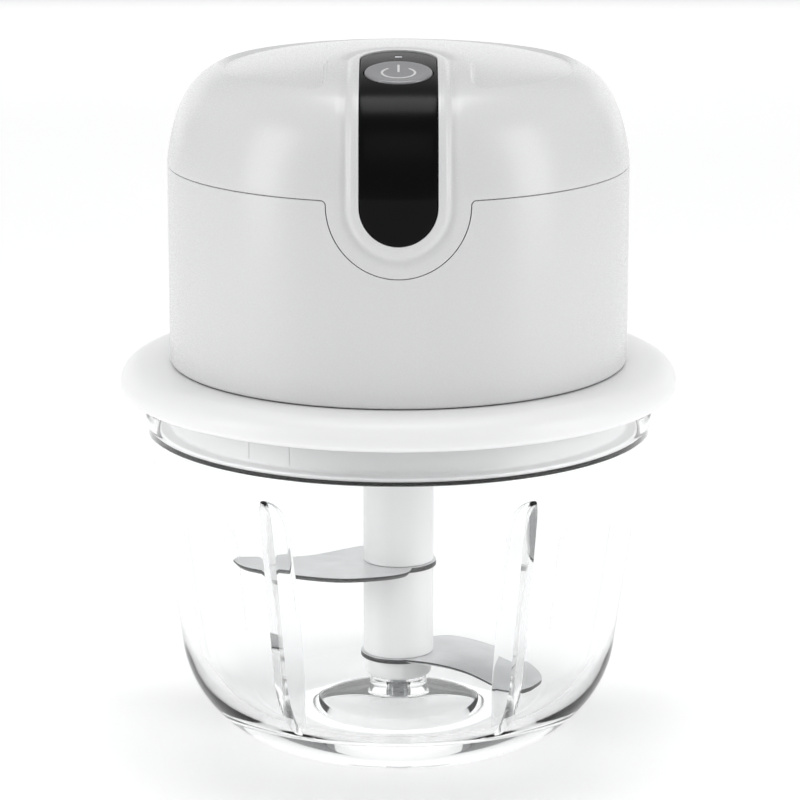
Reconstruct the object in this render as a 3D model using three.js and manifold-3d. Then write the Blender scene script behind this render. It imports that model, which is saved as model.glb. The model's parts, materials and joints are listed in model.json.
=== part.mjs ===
// A small cordless food processor: a clear ribbed bowl, a dish-shaped cover with a seal, and a
// motor unit that drops into the cover and turns a two-blade hub through a planetary gearbox.
// Millimetres, +Z up, origin at the middle of the bowl's foot. The button panel faces -Y and the
// charging port faces +Y.
import * as THREE from "three";
import { mergeVertices } from "three/addons/utils/BufferGeometryUtils.js";
import Module from "manifold-3d";

const wasm = await Module();
wasm.setup();

// ---- Driving dimensions ----

const FACETS = 32; // facets round a large part
const MEDIUM_FACETS = 24; // facets round a shaft, a button or a motor
const SMALL_FACETS = 12; // facets round a small part
const SCREW_FACETS = 8;
const SLIT = 0.3; // gap between a piece and the pocket cut for it
const BIG = 60; // half size of cutting tools that pass right through

// Bowl
const BOWL_RIM_R = 41.1;
const BOWL_RIM_INNER_R = 39.9;
const BOWL_TOP = 61;
const LEDGE_Z = 52.2; // ledge that the seal rests on
const LEDGE_INNER_R = 37.8;
const WALL_TOP = { r: 40.2, z: 51.4 }; // straight outer wall, top
const WALL_FOOT = { r: 35.55, z: 16.3 }; // straight outer wall, bottom
const WALL_THICK = 2.4;
const FOOT_R = 17;
const FOOT_INNER_R = 14;
const FOOT_RECESS = 3.6;
const FLOOR_Z = 6.7;
const FLOOR_R = 24.7;
const ROUNDING = 0.56; // how far a rounding's handles reach towards its corner
const BOSS_R = 4.6;
const BOSS_TOP = 9.9;
const PIN_R = 1.6;
const PIN_BASE = 5;
const PIN_TOP = 21;
const RIB_THICK = 2.2;
const TALL_RIB = {
  turn: 33.5, // degrees either side of the front
  top: 48,
  shoulder: { corner: [31.2, 47.4], end: [30.8, 40], steps: 4 },
  edge: [[28.7, 29], [27.1, 12], [27.1, 6.2]],
};
const LOW_RIB = {
  turn: 121,
  top: 32,
  shoulder: { corner: [32.4, 31], end: [32, 27], steps: 3 },
  edge: [[30.6, 14], [30.2, 8.4]],
};
const RIB_ROOT = { r: 31, z: 8.4, wallZ: 18 }; // where a rib's back lies inside the wall

// Blade set
const HUB_R = 5.75;
const HUB_FOOT_R = 5.4;
const HUB_BOTTOM = 10.3;
const HUB_TOP = 51.8;
const HUB_BORE = { r: 1.75, top: 22 };
const SLOT_R = 3.8; // core that is left where a blade passes through the hub
const SOCKET = { r: 3.1, bottom: 39.5 }; // six-sided drive socket
const BLADE_COLLAR_R = 6.2;
const UPPER_BLADE = { z: 29, thick: 0.9 };
const LOWER_BLADE = { z: 13.4, thick: 0.8, droop: 2.6, from: 8, to: 25.5 };

// Cover
const COVER_R = 45;
const COVER_BOTTOM = 58.5;
const COVER_TOP = 63.4;
const COVER_FLOOR = { top: 53.4, bottom: 52.3 };
const COVER_WALL_R = 37.4;
const COVER_INNER_R = 36.1;
const COVER_FLANGE_R = 39.2;
const COVER_HOLE_R = 6.4;
const SEAL = { inner: 38.3, outer: 39.75, bottom: 52.22, top: 52.7 };
const KEY_TURNS = [-128, -8, 112]; // directions of the keys, degrees from +X
const KEY_SPAN = 15; // degrees
const KEY_INNER_R = 34.9;
const KEY_TOP = 57.4;

// Motor unit shells
const HOUSING_R = 37;
const HOUSING_INNER_R = 34.8;
const HOUSING_BOTTOM = 63.5;
const SEAM_Z = 95.6; // split between the lower housing and the cap
const SEAM_GAP = 0.15;
const CAP_TOP = 114.6;
const CAP_SAG = 4.7; // how far the crown falls before it rounds over
const CAP_DROP = 13.9; // height of the rounding
const CAP_POWERS = [11.9, 1.36]; // squareness of the rounding
const CAP_WALL = 2.2;
const LIP = { outer: 34.5, inner: 33.4, bottom: 92.6, top: 96 };
const TONGUE_HALF = 11; // half width of the cap's tongue, panel round it
const SPINE_HALF = 11.4; // half width of the raised spine on the crown
const PANEL_HALF = 5.97;
const PANEL_THICK = 1.1;
const PANEL_POCKET = 1.5;
const LOOP_Z = 94.9; // centre of the round lower ends
const LOOP_Y = -13.3; // centre of the round upper ends
const CROWN_RECESS = { r: 28.3, deep: 0.45 };
const POST = { r: 2.9, bore: 1.25, bottom: 67.1, ring: 29.5, turns: [-38, -142, 50, 130] };

// Power button, in its own tilted frame: +Z is the outward normal of the crown
const BUTTON = { y: -20.96, z: 113.08, tilt: 9.6, r: 5.25, flangeR: 6.3, stemR: 1.4 };
const BUTTON_PROUD = 0.2;
const BUTTON_HOLE_R = 5.6;
const BUTTON_FLANGE_TOP = -2.6;
const BUTTON_FLANGE_BOTTOM = -3.4;
const STEM_END = -6;
const SWITCH = { top: -6.8, body: -7.3, bottom: -10.3, half: 3, actuatorR: 1.5 };
const BUTTON_BOARD = { x: 10.6, y: 5, top: -10.4, bottom: -11.6, bossX: 8.4, bossR: 1.8 };
const LED = { y: -11.5, halfX: 0.6, halfY: 0.5, length: 3.4, holeX: 0.9, holeY: 0.8 };
const UNDER_CROWN = 105; // height from which holes are cut up through the crown

// Motor base and gearbox
const BASE_R = 35.8;
const BASE_BOTTOM = 54;
const BASE_FLOOR = 55.8;
const BASE_STEP = 63.2;
const BASE_TOP = 66.5;
const BASE_WALL_INNER = 32.8;
const BUSH_BORE_R = 4;
const BUSH_TOP = 58.4;
const PILLAR = { r: 3.4, top: 66.9, counterbore: 2.4, shelf: 62 };
const TOOTH = { module: 0.5, addendum: 0.42, dedendum: 0.62, backlash: 0.2 };
const TOOTH_SHARE = { tip: 0.14, root: 0.34 }; // half widths as shares of the pitch
const SUN_TEETH = 12;
const PLANET_TEETH = 12;
const RING_TEETH = 36;
const PLANET_ORBIT = (TOOTH.module * (SUN_TEETH + PLANET_TEETH)) / 2;
const PLANET_COUNT = 3;
const GEAR_Z = 60.8;
const GEAR_WIDTH = 4;
const RING = { r: 15, bottom: 55.85, top: 66, screwRing: 12.7, screwTurns: [60, 180, 300] };
const GEARBOX_COVER = { bottom: 66.1, top: 68.5, seat: 67.5, shaftHoleR: 3 };
const MOTOR_SCREW_SEAT = GEARBOX_COVER.bottom + 1.3;
const SHAFT_SEAL = { bottom: 54.1, top: 55.6 };
const BUSH_BOTTOM = 55.7;
const CARRIER = { r: 8, bottom: 59, top: 60.6, pinR: 1.1, pinTop: 65 };
const DRIVE = { r: 2.5, hexR: 2.7, hexTop: 53.6, tip: 41 };

// Motor
const MOTOR = { r: 12.1, wall: 0.9, bottom: 68.6, floor: 1.4, top: 98, capTop: 100.1, mouthR: 2 };
const ROTOR = { shaftR: 1, bottom: 61, top: 99.6, coreR: 3, poleR: 9.2, low: 73, high: 92 };
const POLES = { turns: [30, 150, 270], halfSpan: 46 };
const COMMUTATOR = { r: 2.8, low: 93, high: 96.6 };
const MAGNET = { inner: 9.8, outer: 11.05, halfSpan: 62 };
const MOTOR_SCREW_X = 5;

// Power and control
const CELL = { x: 21.9, r: 9.2, bottom: 70.1, top: 104 };
const LINK = { reach: 24.9, half: 2, thick: 0.5 };
const TRAY = { half: 14.4, r: 33.9, bottom: 68.7, top: 69.9, hole: 12.6 };
const BOARD = { half: 13, bottom: 69, top: 98, front: 26.2, back: 27.8 };
const PORT = { z: 74.1, halfX: 4.5, halfZ: 1.6, back: 34.4, wall: 0.35, floor: 1.4 };
const PORT_TAB = { halfX: 3.2, halfZ: 0.35 };
const PORT_HOLE = { halfX: 5.3, halfZ: 2.3 };
const PORT_BLOCK = { halfX: 11.5, bottom: 67, top: 82, front: 32.6, back: 36 };
const FLAP_POCKET = { halfX: 6.9, bottom: 68.7, top: 79, floor: 35.3 };
const FLAP = { halfX: 6.6, bottom: 69, top: 78.7, back: 36.35, tongue: 1.1 };
const BOARD_SCREW = { x: 9, z: 80, bossR: 2.2 };
const LEAD = {
  r: 0.7,
  steps: 12,
  route: [[4, 25.6, 96], [4, 22.8, 99.6], [4.4, 15, 102.4], [5, 7.5, 102.2], [5.4, 6, 100.6]],
};

// Screws: head and shank, the hole the shank goes through, its tapped hole, and the head's seat
const BASE_SCREW = { headR: 2, head: 1.5, shankR: 1, length: 14 };
const RING_SCREW = { headR: 1.5, head: 0.8, shankR: 0.9, length: 10.9, holeR: 1.1, seatR: 1.8 };
const CAN_SCREW = { headR: 1.7, head: 1, shankR: 0.8, length: 3, holeR: 1, tapR: 0.95, seatR: 1.9 };
const BACK_SCREW = { headR: 1.8, head: 1, shankR: 0.8, length: 5.4, holeR: 1.1, tapR: 1 };
const TOP_SCREW = { headR: 1.6, head: 0.9, shankR: 0.75, length: 5, holeR: 1, tapR: 0.9 };

// ---- Materials ----

const finish = (color, roughness, metalness = 0, opacity = 1) =>
  new THREE.MeshStandardMaterial({
    color,
    roughness,
    metalness,
    opacity,
    transparent: opacity < 1,
  });
const clearPlastic = () => finish(0xf2f5f6, 0.08, 0, 0.3);
const whiteGloss = () => finish(0xf4f4f4, 0.22);
const whiteSatin = () => finish(0xececee, 0.35);
const greyPlastic = () => finish(0xc9cacc, 0.5);
const blackGloss = () => finish(0x050506, 0.06);
const darkRubber = () => finish(0x2a2a2c, 0.7);
const steel = () => finish(0xc4c6c8, 0.25, 1);
const gearPlastic = () => finish(0xe8e4d6, 0.5);
const boardGreen = () => finish(0x1f6b46, 0.45);
const cellWrap = () => finish(0x2f6fb0, 0.4);
const copper = () => finish(0xb4683a, 0.35, 1);
const ferrite = () => finish(0x3c3c40, 0.7);
const wireColour = (color) => finish(color, 0.55);

// ---- Shape helpers ----

const radians = THREE.MathUtils.degToRad;

// Turns a three.js geometry into a solid, facing out.
function solid(geometry) {
  const bare = geometry.clone();
  bare.deleteAttribute("normal");
  bare.deleteAttribute("uv");
  const merged = mergeVertices(bare, 1e-4);
  const index = merged.index.array;
  const kept = [];
  for (let i = 0; i < index.length; i += 3) {
    const [a, b, c] = [index[i], index[i + 1], index[i + 2]];
    if (a !== b && b !== c && c !== a) kept.push(a, b, c);
  }
  const vertProperties = merged.attributes.position.array;
  const build = (list) =>
    new wasm.Manifold(
      new wasm.Mesh({ numProp: 3, vertProperties, triVerts: new Uint32Array(list) }),
    );
  const made = build(kept);
  return made.volume() < 0 ? build(kept.reverse()) : made;
}

// Turns a solid back into a three.js geometry.
function geometryOf(body) {
  const mesh = body.getMesh();
  const geometry = new THREE.BufferGeometry();
  const position = new THREE.BufferAttribute(mesh.vertProperties, 3);
  geometry.setAttribute("position", position);
  geometry.setIndex(new THREE.BufferAttribute(mesh.triVerts, 1));
  geometry.computeVertexNormals();
  return geometry;
}

const joined = (first, ...more) => more.reduce((sum, next) => sum.add(next), first);
const cut = (first, ...tools) => tools.reduce((rest, tool) => rest.subtract(tool), first);

// A body of revolution about Z from [radius, height] pairs.
function turned(profile, facets = FACETS) {
  const points = profile.map(([r, z]) => new THREE.Vector2(r, z));
  return solid(new THREE.LatheGeometry(points, facets).rotateX(Math.PI / 2));
}

// A closed profile that doesn't reach the axis.
const ring = (profile, facets = FACETS) => turned([...profile, profile[0]], facets);

function disc(r, bottom, top, facets = FACETS) {
  return turned([[0, bottom], [r, bottom], [r, top], [0, top]], facets);
}

function tube(outer, inner, bottom, top, facets = FACETS) {
  return ring([[inner, bottom], [outer, bottom], [outer, top], [inner, top]], facets);
}

function block(x0, x1, y0, y1, z0, z1) {
  const box = new THREE.BoxGeometry(x1 - x0, y1 - y0, z1 - z0);
  return solid(box.translate((x0 + x1) / 2, (y0 + y1) / 2, (z0 + z1) / 2));
}

// A plan outline raised from bottom to top.
function raised(shape, bottom, top, curveSegments = 10) {
  const settings = { depth: top - bottom, bevelEnabled: false, curveSegments };
  return solid(new THREE.ExtrudeGeometry(shape, settings).translate(0, 0, bottom));
}

// An outline in the XZ plane, carried along Y from front to back.
function carried(shape, front, back, curveSegments = 10) {
  const settings = { depth: back - front, bevelEnabled: false, curveSegments };
  const geometry = new THREE.ExtrudeGeometry(shape, settings).rotateX(Math.PI / 2);
  return solid(geometry.translate(0, back, 0));
}

// A round bar along +Y.
function barAlongY(r, x, z, front, back) {
  const shape = new THREE.Shape().absarc(x, z, r, 0, 2 * Math.PI);
  return carried(shape, front, back, SMALL_FACETS / 2);
}

// Points on a rounding from one point to another, drawn towards a corner.
function rounding(from, corner, to, steps) {
  const handle = (end) => new THREE.Vector2(...end).lerp(new THREE.Vector2(...corner), ROUNDING);
  const curve = new THREE.CubicBezierCurve(
    new THREE.Vector2(...from),
    handle(from),
    handle(to),
    new THREE.Vector2(...to),
  );
  return curve.getPoints(steps).map((point) => [point.x, point.y]);
}

const onCircle = (r, turn) => [r * Math.cos(radians(turn)), r * Math.sin(radians(turn))];

// ---- Assembly ----

const group = new THREE.Group();

function add(name, body, material, parent = group) {
  const geometry = body.isBufferGeometry ? body : geometryOf(body);
  const mesh = new THREE.Mesh(geometry, material);
  mesh.name = name;
  parent.add(mesh);
  return mesh;
}

// ---- Bowl ----

const wallLean = (WALL_TOP.r - WALL_FOOT.r) / (WALL_TOP.z - WALL_FOOT.z);
const wallRadius = (z) => WALL_FOOT.r + wallLean * (z - WALL_FOOT.z);

const inWall = (z) => wallRadius(z) - WALL_THICK / 2;

function ribBody({ top, shoulder, edge }, turn) {
  const outline = [
    ...rounding([inWall(top), top], shoulder.corner, shoulder.end, shoulder.steps),
    ...edge,
    [RIB_ROOT.r, RIB_ROOT.z],
    [inWall(RIB_ROOT.wallZ), RIB_ROOT.wallZ],
  ];
  const shape = new THREE.Shape(outline.map(([r, z]) => new THREE.Vector2(r, z)));
  const slab = carried(shape, -RIB_THICK / 2, RIB_THICK / 2);
  return slab.rotate([0, 0, turn]);
}

function bowlBody() {
  const innerFoot = [WALL_FOOT.r - WALL_THICK, WALL_FOOT.z + 1.2];
  const shell = turned([
    [0, FOOT_RECESS],
    [FOOT_INNER_R - 0.8, FOOT_RECESS],
    [FOOT_INNER_R, 0],
    ...rounding([FOOT_R, 0], [wallRadius(0), 0], [WALL_FOOT.r, WALL_FOOT.z], 5),
    [WALL_TOP.r, WALL_TOP.z],
    [BOWL_RIM_R, LEDGE_Z + 1.6],
    [BOWL_RIM_R, BOWL_TOP],
    [BOWL_RIM_INNER_R, BOWL_TOP],
    [BOWL_RIM_INNER_R, LEDGE_Z],
    [LEDGE_INNER_R, LEDGE_Z],
    ...rounding(innerFoot, [wallRadius(0) - 2, FLOOR_Z + 0.5], [FLOOR_R, FLOOR_Z + 0.5], 4),
    [FLOOR_R - 1, FLOOR_Z],
    [BOSS_R, FLOOR_Z],
    [BOSS_R, BOSS_TOP],
    [PIN_R + 0.1, BOSS_TOP],
    [PIN_R + 0.1, PIN_BASE - 0.1],
    [0, PIN_BASE - 0.1],
  ]);
  const front = -90;
  const ribs = [];
  for (const rib of [TALL_RIB, LOW_RIB]) {
    ribs.push(ribBody(rib, front - rib.turn));
    ribs.push(ribBody(rib, front + rib.turn));
  }
  return joined(shell, ...ribs);
}

add("bowl", bowlBody(), clearPlastic());
add(
  "centre_pin",
  turned(
    [[0, PIN_BASE], [PIN_R, PIN_BASE], [PIN_R, PIN_TOP - 1], [PIN_R - 0.8, PIN_TOP], [0, PIN_TOP]],
    SMALL_FACETS,
  ),
  steel(),
);

// ---- Blade set ----

function hubBody() {
  const upperSlot = [UPPER_BLADE.z - SLIT, UPPER_BLADE.z + UPPER_BLADE.thick + SLIT];
  const lowerSlot = [LOWER_BLADE.z - SLIT, LOWER_BLADE.z + LOWER_BLADE.thick + SLIT];
  const post = turned(
    [
      [0, HUB_BORE.top],
      [HUB_BORE.r, HUB_BORE.top],
      [HUB_BORE.r, HUB_BOTTOM],
      [HUB_FOOT_R - 0.5, HUB_BOTTOM],
      [HUB_FOOT_R, HUB_BOTTOM + 0.5],
      [HUB_FOOT_R, lowerSlot[0]],
      [SLOT_R, lowerSlot[0]],
      [SLOT_R, lowerSlot[1]],
      [HUB_R, lowerSlot[1]],
      [HUB_R, upperSlot[0]],
      [SLOT_R, upperSlot[0]],
      [SLOT_R, upperSlot[1]],
      [HUB_R, upperSlot[1]],
      [HUB_R, HUB_TOP],
      [0, HUB_TOP],
    ],
    MEDIUM_FACETS,
  );
  return cut(post, disc(SOCKET.r, SOCKET.bottom, HUB_TOP + 1, 6));
}

// A sheet blade: one wing on a collar that goes round the hub.
function bladeShape(frontEdge, tip, rearEdge, arcFrom, arcTo) {
  const shape = new THREE.Shape();
  const vectors = (list) => list.map(([x, y]) => new THREE.Vector2(x, y));
  shape.moveTo(...onCircle(BLADE_COLLAR_R, arcTo));
  shape.splineThru(vectors(frontEdge));
  for (const point of tip) shape.lineTo(...point);
  shape.splineThru(vectors(rearEdge));
  shape.lineTo(...onCircle(BLADE_COLLAR_R, arcFrom));
  shape.absarc(0, 0, BLADE_COLLAR_R, radians(arcFrom), radians(arcTo), arcFrom > arcTo);
  shape.holes.push(new THREE.Path().absarc(0, 0, SLOT_R + SLIT, 0, 2 * Math.PI));
  return shape;
}

const upperBladeShape = bladeShape(
  [[-3, -10.8], [-9.5, -12.3], [-16.7, -10.1], [-24.6, -5.6]],
  [[-27.1, -1], [-26.4, 0.8]],
  [[-20, 0.9], [-14.5, 1.6], [-9.5, 3.6], [-5.6, 7]],
  129,
  -67,
);
const lowerBladeShape = bladeShape(
  [[5, -7.6], [11.6, -10.3], [16.6, -14.4], [19.4, -16]],
  [[21.4, -14], [23.3, -9.4]],
  [[22.6, -3], [19, 3.6], [13.5, 8], [8.6, 9.2], [5, 7.6]],
  57,
  270,
);

// Bends a blade's wing down with distance from the hub.
function drooped(geometry, { droop, from, to }) {
  const place = geometry.attributes.position;
  for (let i = 0; i < place.count; i++) {
    const reach = Math.hypot(place.getX(i), place.getY(i));
    place.setZ(i, place.getZ(i) - droop * THREE.MathUtils.smoothstep(reach, from, to));
  }
  return geometry;
}

const bladeSettings = (blade) => ({
  depth: blade.thick,
  bevelEnabled: false,
  curveSegments: 6,
});
add("blade_hub", hubBody(), whiteGloss());
const upperBlade = new THREE.ExtrudeGeometry(upperBladeShape, bladeSettings(UPPER_BLADE));
add("upper_blade", solid(upperBlade), steel()).position.z = UPPER_BLADE.z;
const lowerBlade = new THREE.ExtrudeGeometry(lowerBladeShape, bladeSettings(LOWER_BLADE));
add("lower_blade", solid(drooped(lowerBlade, LOWER_BLADE)), steel()).position.z = LOWER_BLADE.z;

// ---- Cover and seal ----

// A curved block between two radii, centred on a direction.
function sector(inner, outer, turn, span, bottom, top) {
  const shape = new THREE.Shape();
  const [from, to] = [radians(turn - span / 2), radians(turn + span / 2)];
  shape.absarc(0, 0, outer, from, to, false);
  shape.absarc(0, 0, inner, to, from, true);
  return raised(shape, bottom, top, 3);
}

function coverBody() {
  const dish = ring([
    [COVER_HOLE_R, COVER_FLOOR.bottom],
    [SEAL.inner - 0.1, COVER_FLOOR.bottom],
    [SEAL.inner - 0.1, SEAL.top + 0.05],
    [COVER_FLANGE_R, SEAL.top + 0.05],
    [COVER_FLANGE_R, COVER_FLOOR.top],
    [COVER_WALL_R, COVER_FLOOR.top],
    [COVER_WALL_R, COVER_BOTTOM + 0.7],
    [BOWL_RIM_INNER_R - 0.3, COVER_BOTTOM + 0.7],
    [BOWL_RIM_INNER_R - 0.3, BOWL_TOP + 0.3],
    [BOWL_RIM_R + 0.4, BOWL_TOP + 0.3],
    [BOWL_RIM_R + 0.4, COVER_BOTTOM],
    ...rounding([43, COVER_BOTTOM], [COVER_R, COVER_BOTTOM], [COVER_R, 59.6], 3),
    ...rounding([COVER_R, 60.2], [COVER_R, COVER_TOP], [41.4, COVER_TOP], 4),
    [COVER_INNER_R, COVER_TOP],
    [COVER_INNER_R, COVER_FLOOR.top],
    [COVER_HOLE_R, COVER_FLOOR.top],
  ]);
  const keys = KEY_TURNS.map((turn) =>
    sector(KEY_INNER_R, COVER_INNER_R + 0.5, turn, KEY_SPAN, COVER_FLOOR.top - 0.4, KEY_TOP),
  );
  return joined(dish, ...keys);
}

add("cover", coverBody(), whiteSatin());
add("cover_seal", tube(SEAL.outer, SEAL.inner, SEAL.bottom, SEAL.top), darkRubber());

// ---- Motor unit: crown surface ----

// Height of the crown's outer surface at a radius.
function crownHeight(r) {
  const x = Math.min(r / HOUSING_R, 1);
  const [n, m] = CAP_POWERS;
  return CAP_TOP - CAP_SAG * x * x - CAP_DROP * (1 - (1 - x ** n) ** (1 / m));
}

// Crown outline, moved in by an offset, from the axis out to the wall.
function crownOutline(offset, steps = 8) {
  const points = [];
  for (let i = 0; i <= steps; i++) {
    const x = 1 - (1 - i / steps) ** 3;
    points.push([x * (HOUSING_R - offset), crownHeight(x * HOUSING_R) - offset]);
  }
  return points;
}

const unitBody = (offset, bottom) =>
  turned([...crownOutline(offset), [HOUSING_R - offset, bottom], [0, bottom]]);

// Everything within a half width of the front line that lies above the round lower end.
function frontLoop(half) {
  const shape = new THREE.Shape();
  shape.moveTo(half, 3 * BIG);
  shape.lineTo(-half, 3 * BIG);
  shape.absarc(0, LOOP_Z, half, Math.PI, 2 * Math.PI, false);
  return carried(shape, -BIG, BIG / 2);
}

// Everything within a half width of the front line that lies before the round upper end.
function crownLoop(half) {
  const shape = new THREE.Shape();
  shape.moveTo(half, -BIG);
  shape.lineTo(half, LOOP_Y);
  shape.absarc(0, LOOP_Y, half, 0, Math.PI, false);
  shape.lineTo(-half, -BIG);
  return raised(shape, BIG, 3 * BIG);
}

const loopBand = (half, outerOffset, innerOffset) =>
  unitBody(outerOffset, 80)
    .subtract(unitBody(innerOffset, 70))
    .intersect(frontLoop(half))
    .intersect(crownLoop(half));

// Moves a solid from the button's own frame into the unit's frame.
const atButton = (body) =>
  body.rotate([BUTTON.tilt, 0, 0]).translate([0, BUTTON.y, BUTTON.z]);

// ---- Motor unit: shells ----

const postPlaces = POST.turns.map((turn) => onCircle(POST.ring, turn));
const ledHole = block(
  -LED.holeX,
  LED.holeX,
  LED.y - LED.holeY,
  LED.y + LED.holeY,
  UNDER_CROWN,
  2 * BIG,
);

function capBody() {
  const inner = crownOutline(CAP_WALL).filter(([, z]) => z > LIP.top + 1).reverse();
  const shell = turned([
    ...crownOutline(0),
    [HOUSING_R, SEAM_Z + SEAM_GAP],
    [LIP.outer, SEAM_Z + SEAM_GAP],
    [LIP.outer, LIP.bottom],
    [LIP.inner, LIP.bottom],
    [LIP.inner, LIP.top],
    [HOUSING_INNER_R - 0.1, LIP.top],
    ...inner,
  ]);
  const tongue = tube(HOUSING_R, LIP.outer - 0.2, 80, LIP.top).intersect(frontLoop(TONGUE_HALF));
  const frontHalf = block(-BIG, BIG, -BIG, 0, 0, 2 * BIG);
  const underCrown = unitBody(CAP_WALL - 0.2, POST.bottom);
  const posts = postPlaces.map(([x, y]) =>
    disc(POST.r, POST.bottom, CAP_TOP, SMALL_FACETS).translate([x, y, 0]).intersect(underCrown),
  );
  const bores = postPlaces.map(([x, y]) =>
    disc(POST.bore, POST.bottom - 1, 80, SMALL_FACETS).translate([x, y, 0]),
  );
  const bosses = [-1, 1].map((side) =>
    atButton(
      disc(BUTTON_BOARD.bossR, BUTTON_BOARD.top + 0.1, -1, SMALL_FACETS)
        .translate([side * BUTTON_BOARD.bossX, 0, 0]),
    ),
  );
  const crownRecess = unitBody(-1, 80)
    .subtract(unitBody(CROWN_RECESS.deep, 70))
    .intersect(cut(disc(CROWN_RECESS.r, 100, 2 * BIG), crownLoop(SPINE_HALF)));
  const buttonHole = atButton(disc(BUTTON_HOLE_R, -8, 4, MEDIUM_FACETS));
  const flangeRoom = atButton(
    disc(BUTTON.flangeR + SLIT, -8, BUTTON_FLANGE_TOP + SLIT, MEDIUM_FACETS),
  );
  const boardBores = [-1, 1].map((side) =>
    atButton(
      disc(TOP_SCREW.tapR, -12, STEM_END, SCREW_FACETS)
        .translate([side * BUTTON_BOARD.bossX, 0, 0]),
    ),
  );
  return cut(
    joined(shell, tongue.intersect(frontHalf), ...posts, ...bosses),
    loopBand(PANEL_HALF + SLIT, -1, PANEL_POCKET),
    crownRecess,
    buttonHole,
    flangeRoom,
    ledHole,
    ...bores,
    ...boardBores,
  );
}

function housingBody() {
  const wall = tube(HOUSING_R, HOUSING_INNER_R, HOUSING_BOTTOM, SEAM_Z);
  const notch = frontLoop(TONGUE_HALF + SEAM_GAP).intersect(
    block(-BIG, BIG, -BIG, 0, 0, 2 * BIG),
  );
  const inside = disc(HOUSING_R - 0.2, PORT_BLOCK.bottom, PORT_BLOCK.top);
  const portBlock = block(
    -PORT_BLOCK.halfX,
    PORT_BLOCK.halfX,
    PORT_BLOCK.front,
    PORT_BLOCK.back + 4,
    PORT_BLOCK.bottom,
    PORT_BLOCK.top,
  ).intersect(inside);
  const boardBar = (side, r, front, back) =>
    barAlongY(r, side * BOARD_SCREW.x, BOARD_SCREW.z, front, back);
  const bosses = [-1, 1].map((side) =>
    boardBar(side, BOARD_SCREW.bossR, BOARD.back + 0.1, PORT_BLOCK.front + 1),
  );
  const bores = [-1, 1].map((side) =>
    boardBar(side, BACK_SCREW.tapR, BOARD.back - 1, PORT_BLOCK.front + 0.6),
  );
  const hole = block(
    -PORT_HOLE.halfX,
    PORT_HOLE.halfX,
    PORT_BLOCK.front - 1,
    HOUSING_R + 1,
    PORT.z - PORT_HOLE.halfZ,
    PORT.z + PORT_HOLE.halfZ,
  );
  const pocket = block(
    -FLAP_POCKET.halfX,
    FLAP_POCKET.halfX,
    FLAP_POCKET.floor,
    HOUSING_R + 1,
    FLAP_POCKET.bottom,
    FLAP_POCKET.top,
  );
  return cut(joined(wall.subtract(notch), portBlock, ...bosses), hole, pocket, ...bores);
}

function panelBody() {
  const buttonHole = atButton(disc(BUTTON.r + 0.2, -8, 4, MEDIUM_FACETS));
  return cut(loopBand(PANEL_HALF, 0, PANEL_THICK), buttonHole, ledHole);
}

add("motor_housing", housingBody(), whiteGloss());
add("housing_cap", capBody(), whiteGloss());
add("front_panel", panelBody(), blackGloss());
const ledTop = crownHeight(-LED.y);
const ledBody = block(
  -LED.halfX,
  LED.halfX,
  LED.y - LED.halfY,
  LED.y + LED.halfY,
  ledTop - LED.length,
  ledTop - 0.02,
);
add("led_window", ledBody, finish(0xdfe6ea, 0.2));

// ---- Button group, tilted with the crown ----

const buttonGroup = new THREE.Group();
buttonGroup.position.set(0, BUTTON.y, BUTTON.z);
buttonGroup.rotation.x = radians(BUTTON.tilt);
group.add(buttonGroup);

add(
  "power_button",
  turned(
    [
      [0, STEM_END],
      [BUTTON.stemR, STEM_END],
      [BUTTON.stemR, BUTTON_FLANGE_BOTTOM],
      [BUTTON.flangeR, BUTTON_FLANGE_BOTTOM],
      [BUTTON.flangeR, BUTTON_FLANGE_TOP],
      [BUTTON.r, BUTTON_FLANGE_TOP],
      [BUTTON.r, BUTTON_PROUD - 0.3],
      [BUTTON.r - 0.3, BUTTON_PROUD],
      [0, BUTTON_PROUD - 0.15],
    ],
    MEDIUM_FACETS,
  ),
  finish(0x9b9ca0, 0.4, 0.3),
  buttonGroup,
);
add(
  "tact_switch",
  joined(
    block(-SWITCH.half, SWITCH.half, -SWITCH.half, SWITCH.half, SWITCH.bottom, SWITCH.body),
    disc(SWITCH.actuatorR, SWITCH.body - 0.2, SWITCH.top, SMALL_FACETS),
  ),
  ferrite(),
  buttonGroup,
);
const buttonBoardHoles = [-1, 1].map((side) =>
  disc(TOP_SCREW.holeR, BUTTON_BOARD.bottom - 1, BUTTON_BOARD.top + 1, SCREW_FACETS)
    .translate([side * BUTTON_BOARD.bossX, 0, 0]),
);
add(
  "button_board",
  cut(
    block(
      -BUTTON_BOARD.x,
      BUTTON_BOARD.x,
      -BUTTON_BOARD.y,
      BUTTON_BOARD.y,
      BUTTON_BOARD.bottom,
      BUTTON_BOARD.top,
    ),
    ...buttonBoardHoles,
  ),
  boardGreen(),
  buttonGroup,
);

// A pan-head screw whose head rests on z = 0 and whose shank points up.
function screwBody({ headR, head, shankR, length }) {
  const neck = -0.05;
  return turned(
    [[0, -head], [headR, -head], [headR, neck], [shankR, neck], [shankR, length], [0, length]],
    SCREW_FACETS,
  );
}

for (const [side, label] of [[-1, "left"], [1, "right"]]) {
  const mesh = add(`button_board_screw_${label}`, screwBody(TOP_SCREW), steel(), buttonGroup);
  mesh.position.set(side * BUTTON_BOARD.bossX, 0, BUTTON_BOARD.bottom - 0.05);
}

// ---- Motor base ----

const ringScrewPlaces = RING.screwTurns.map((turn) => onCircle(RING.screwRing, turn));

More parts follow.
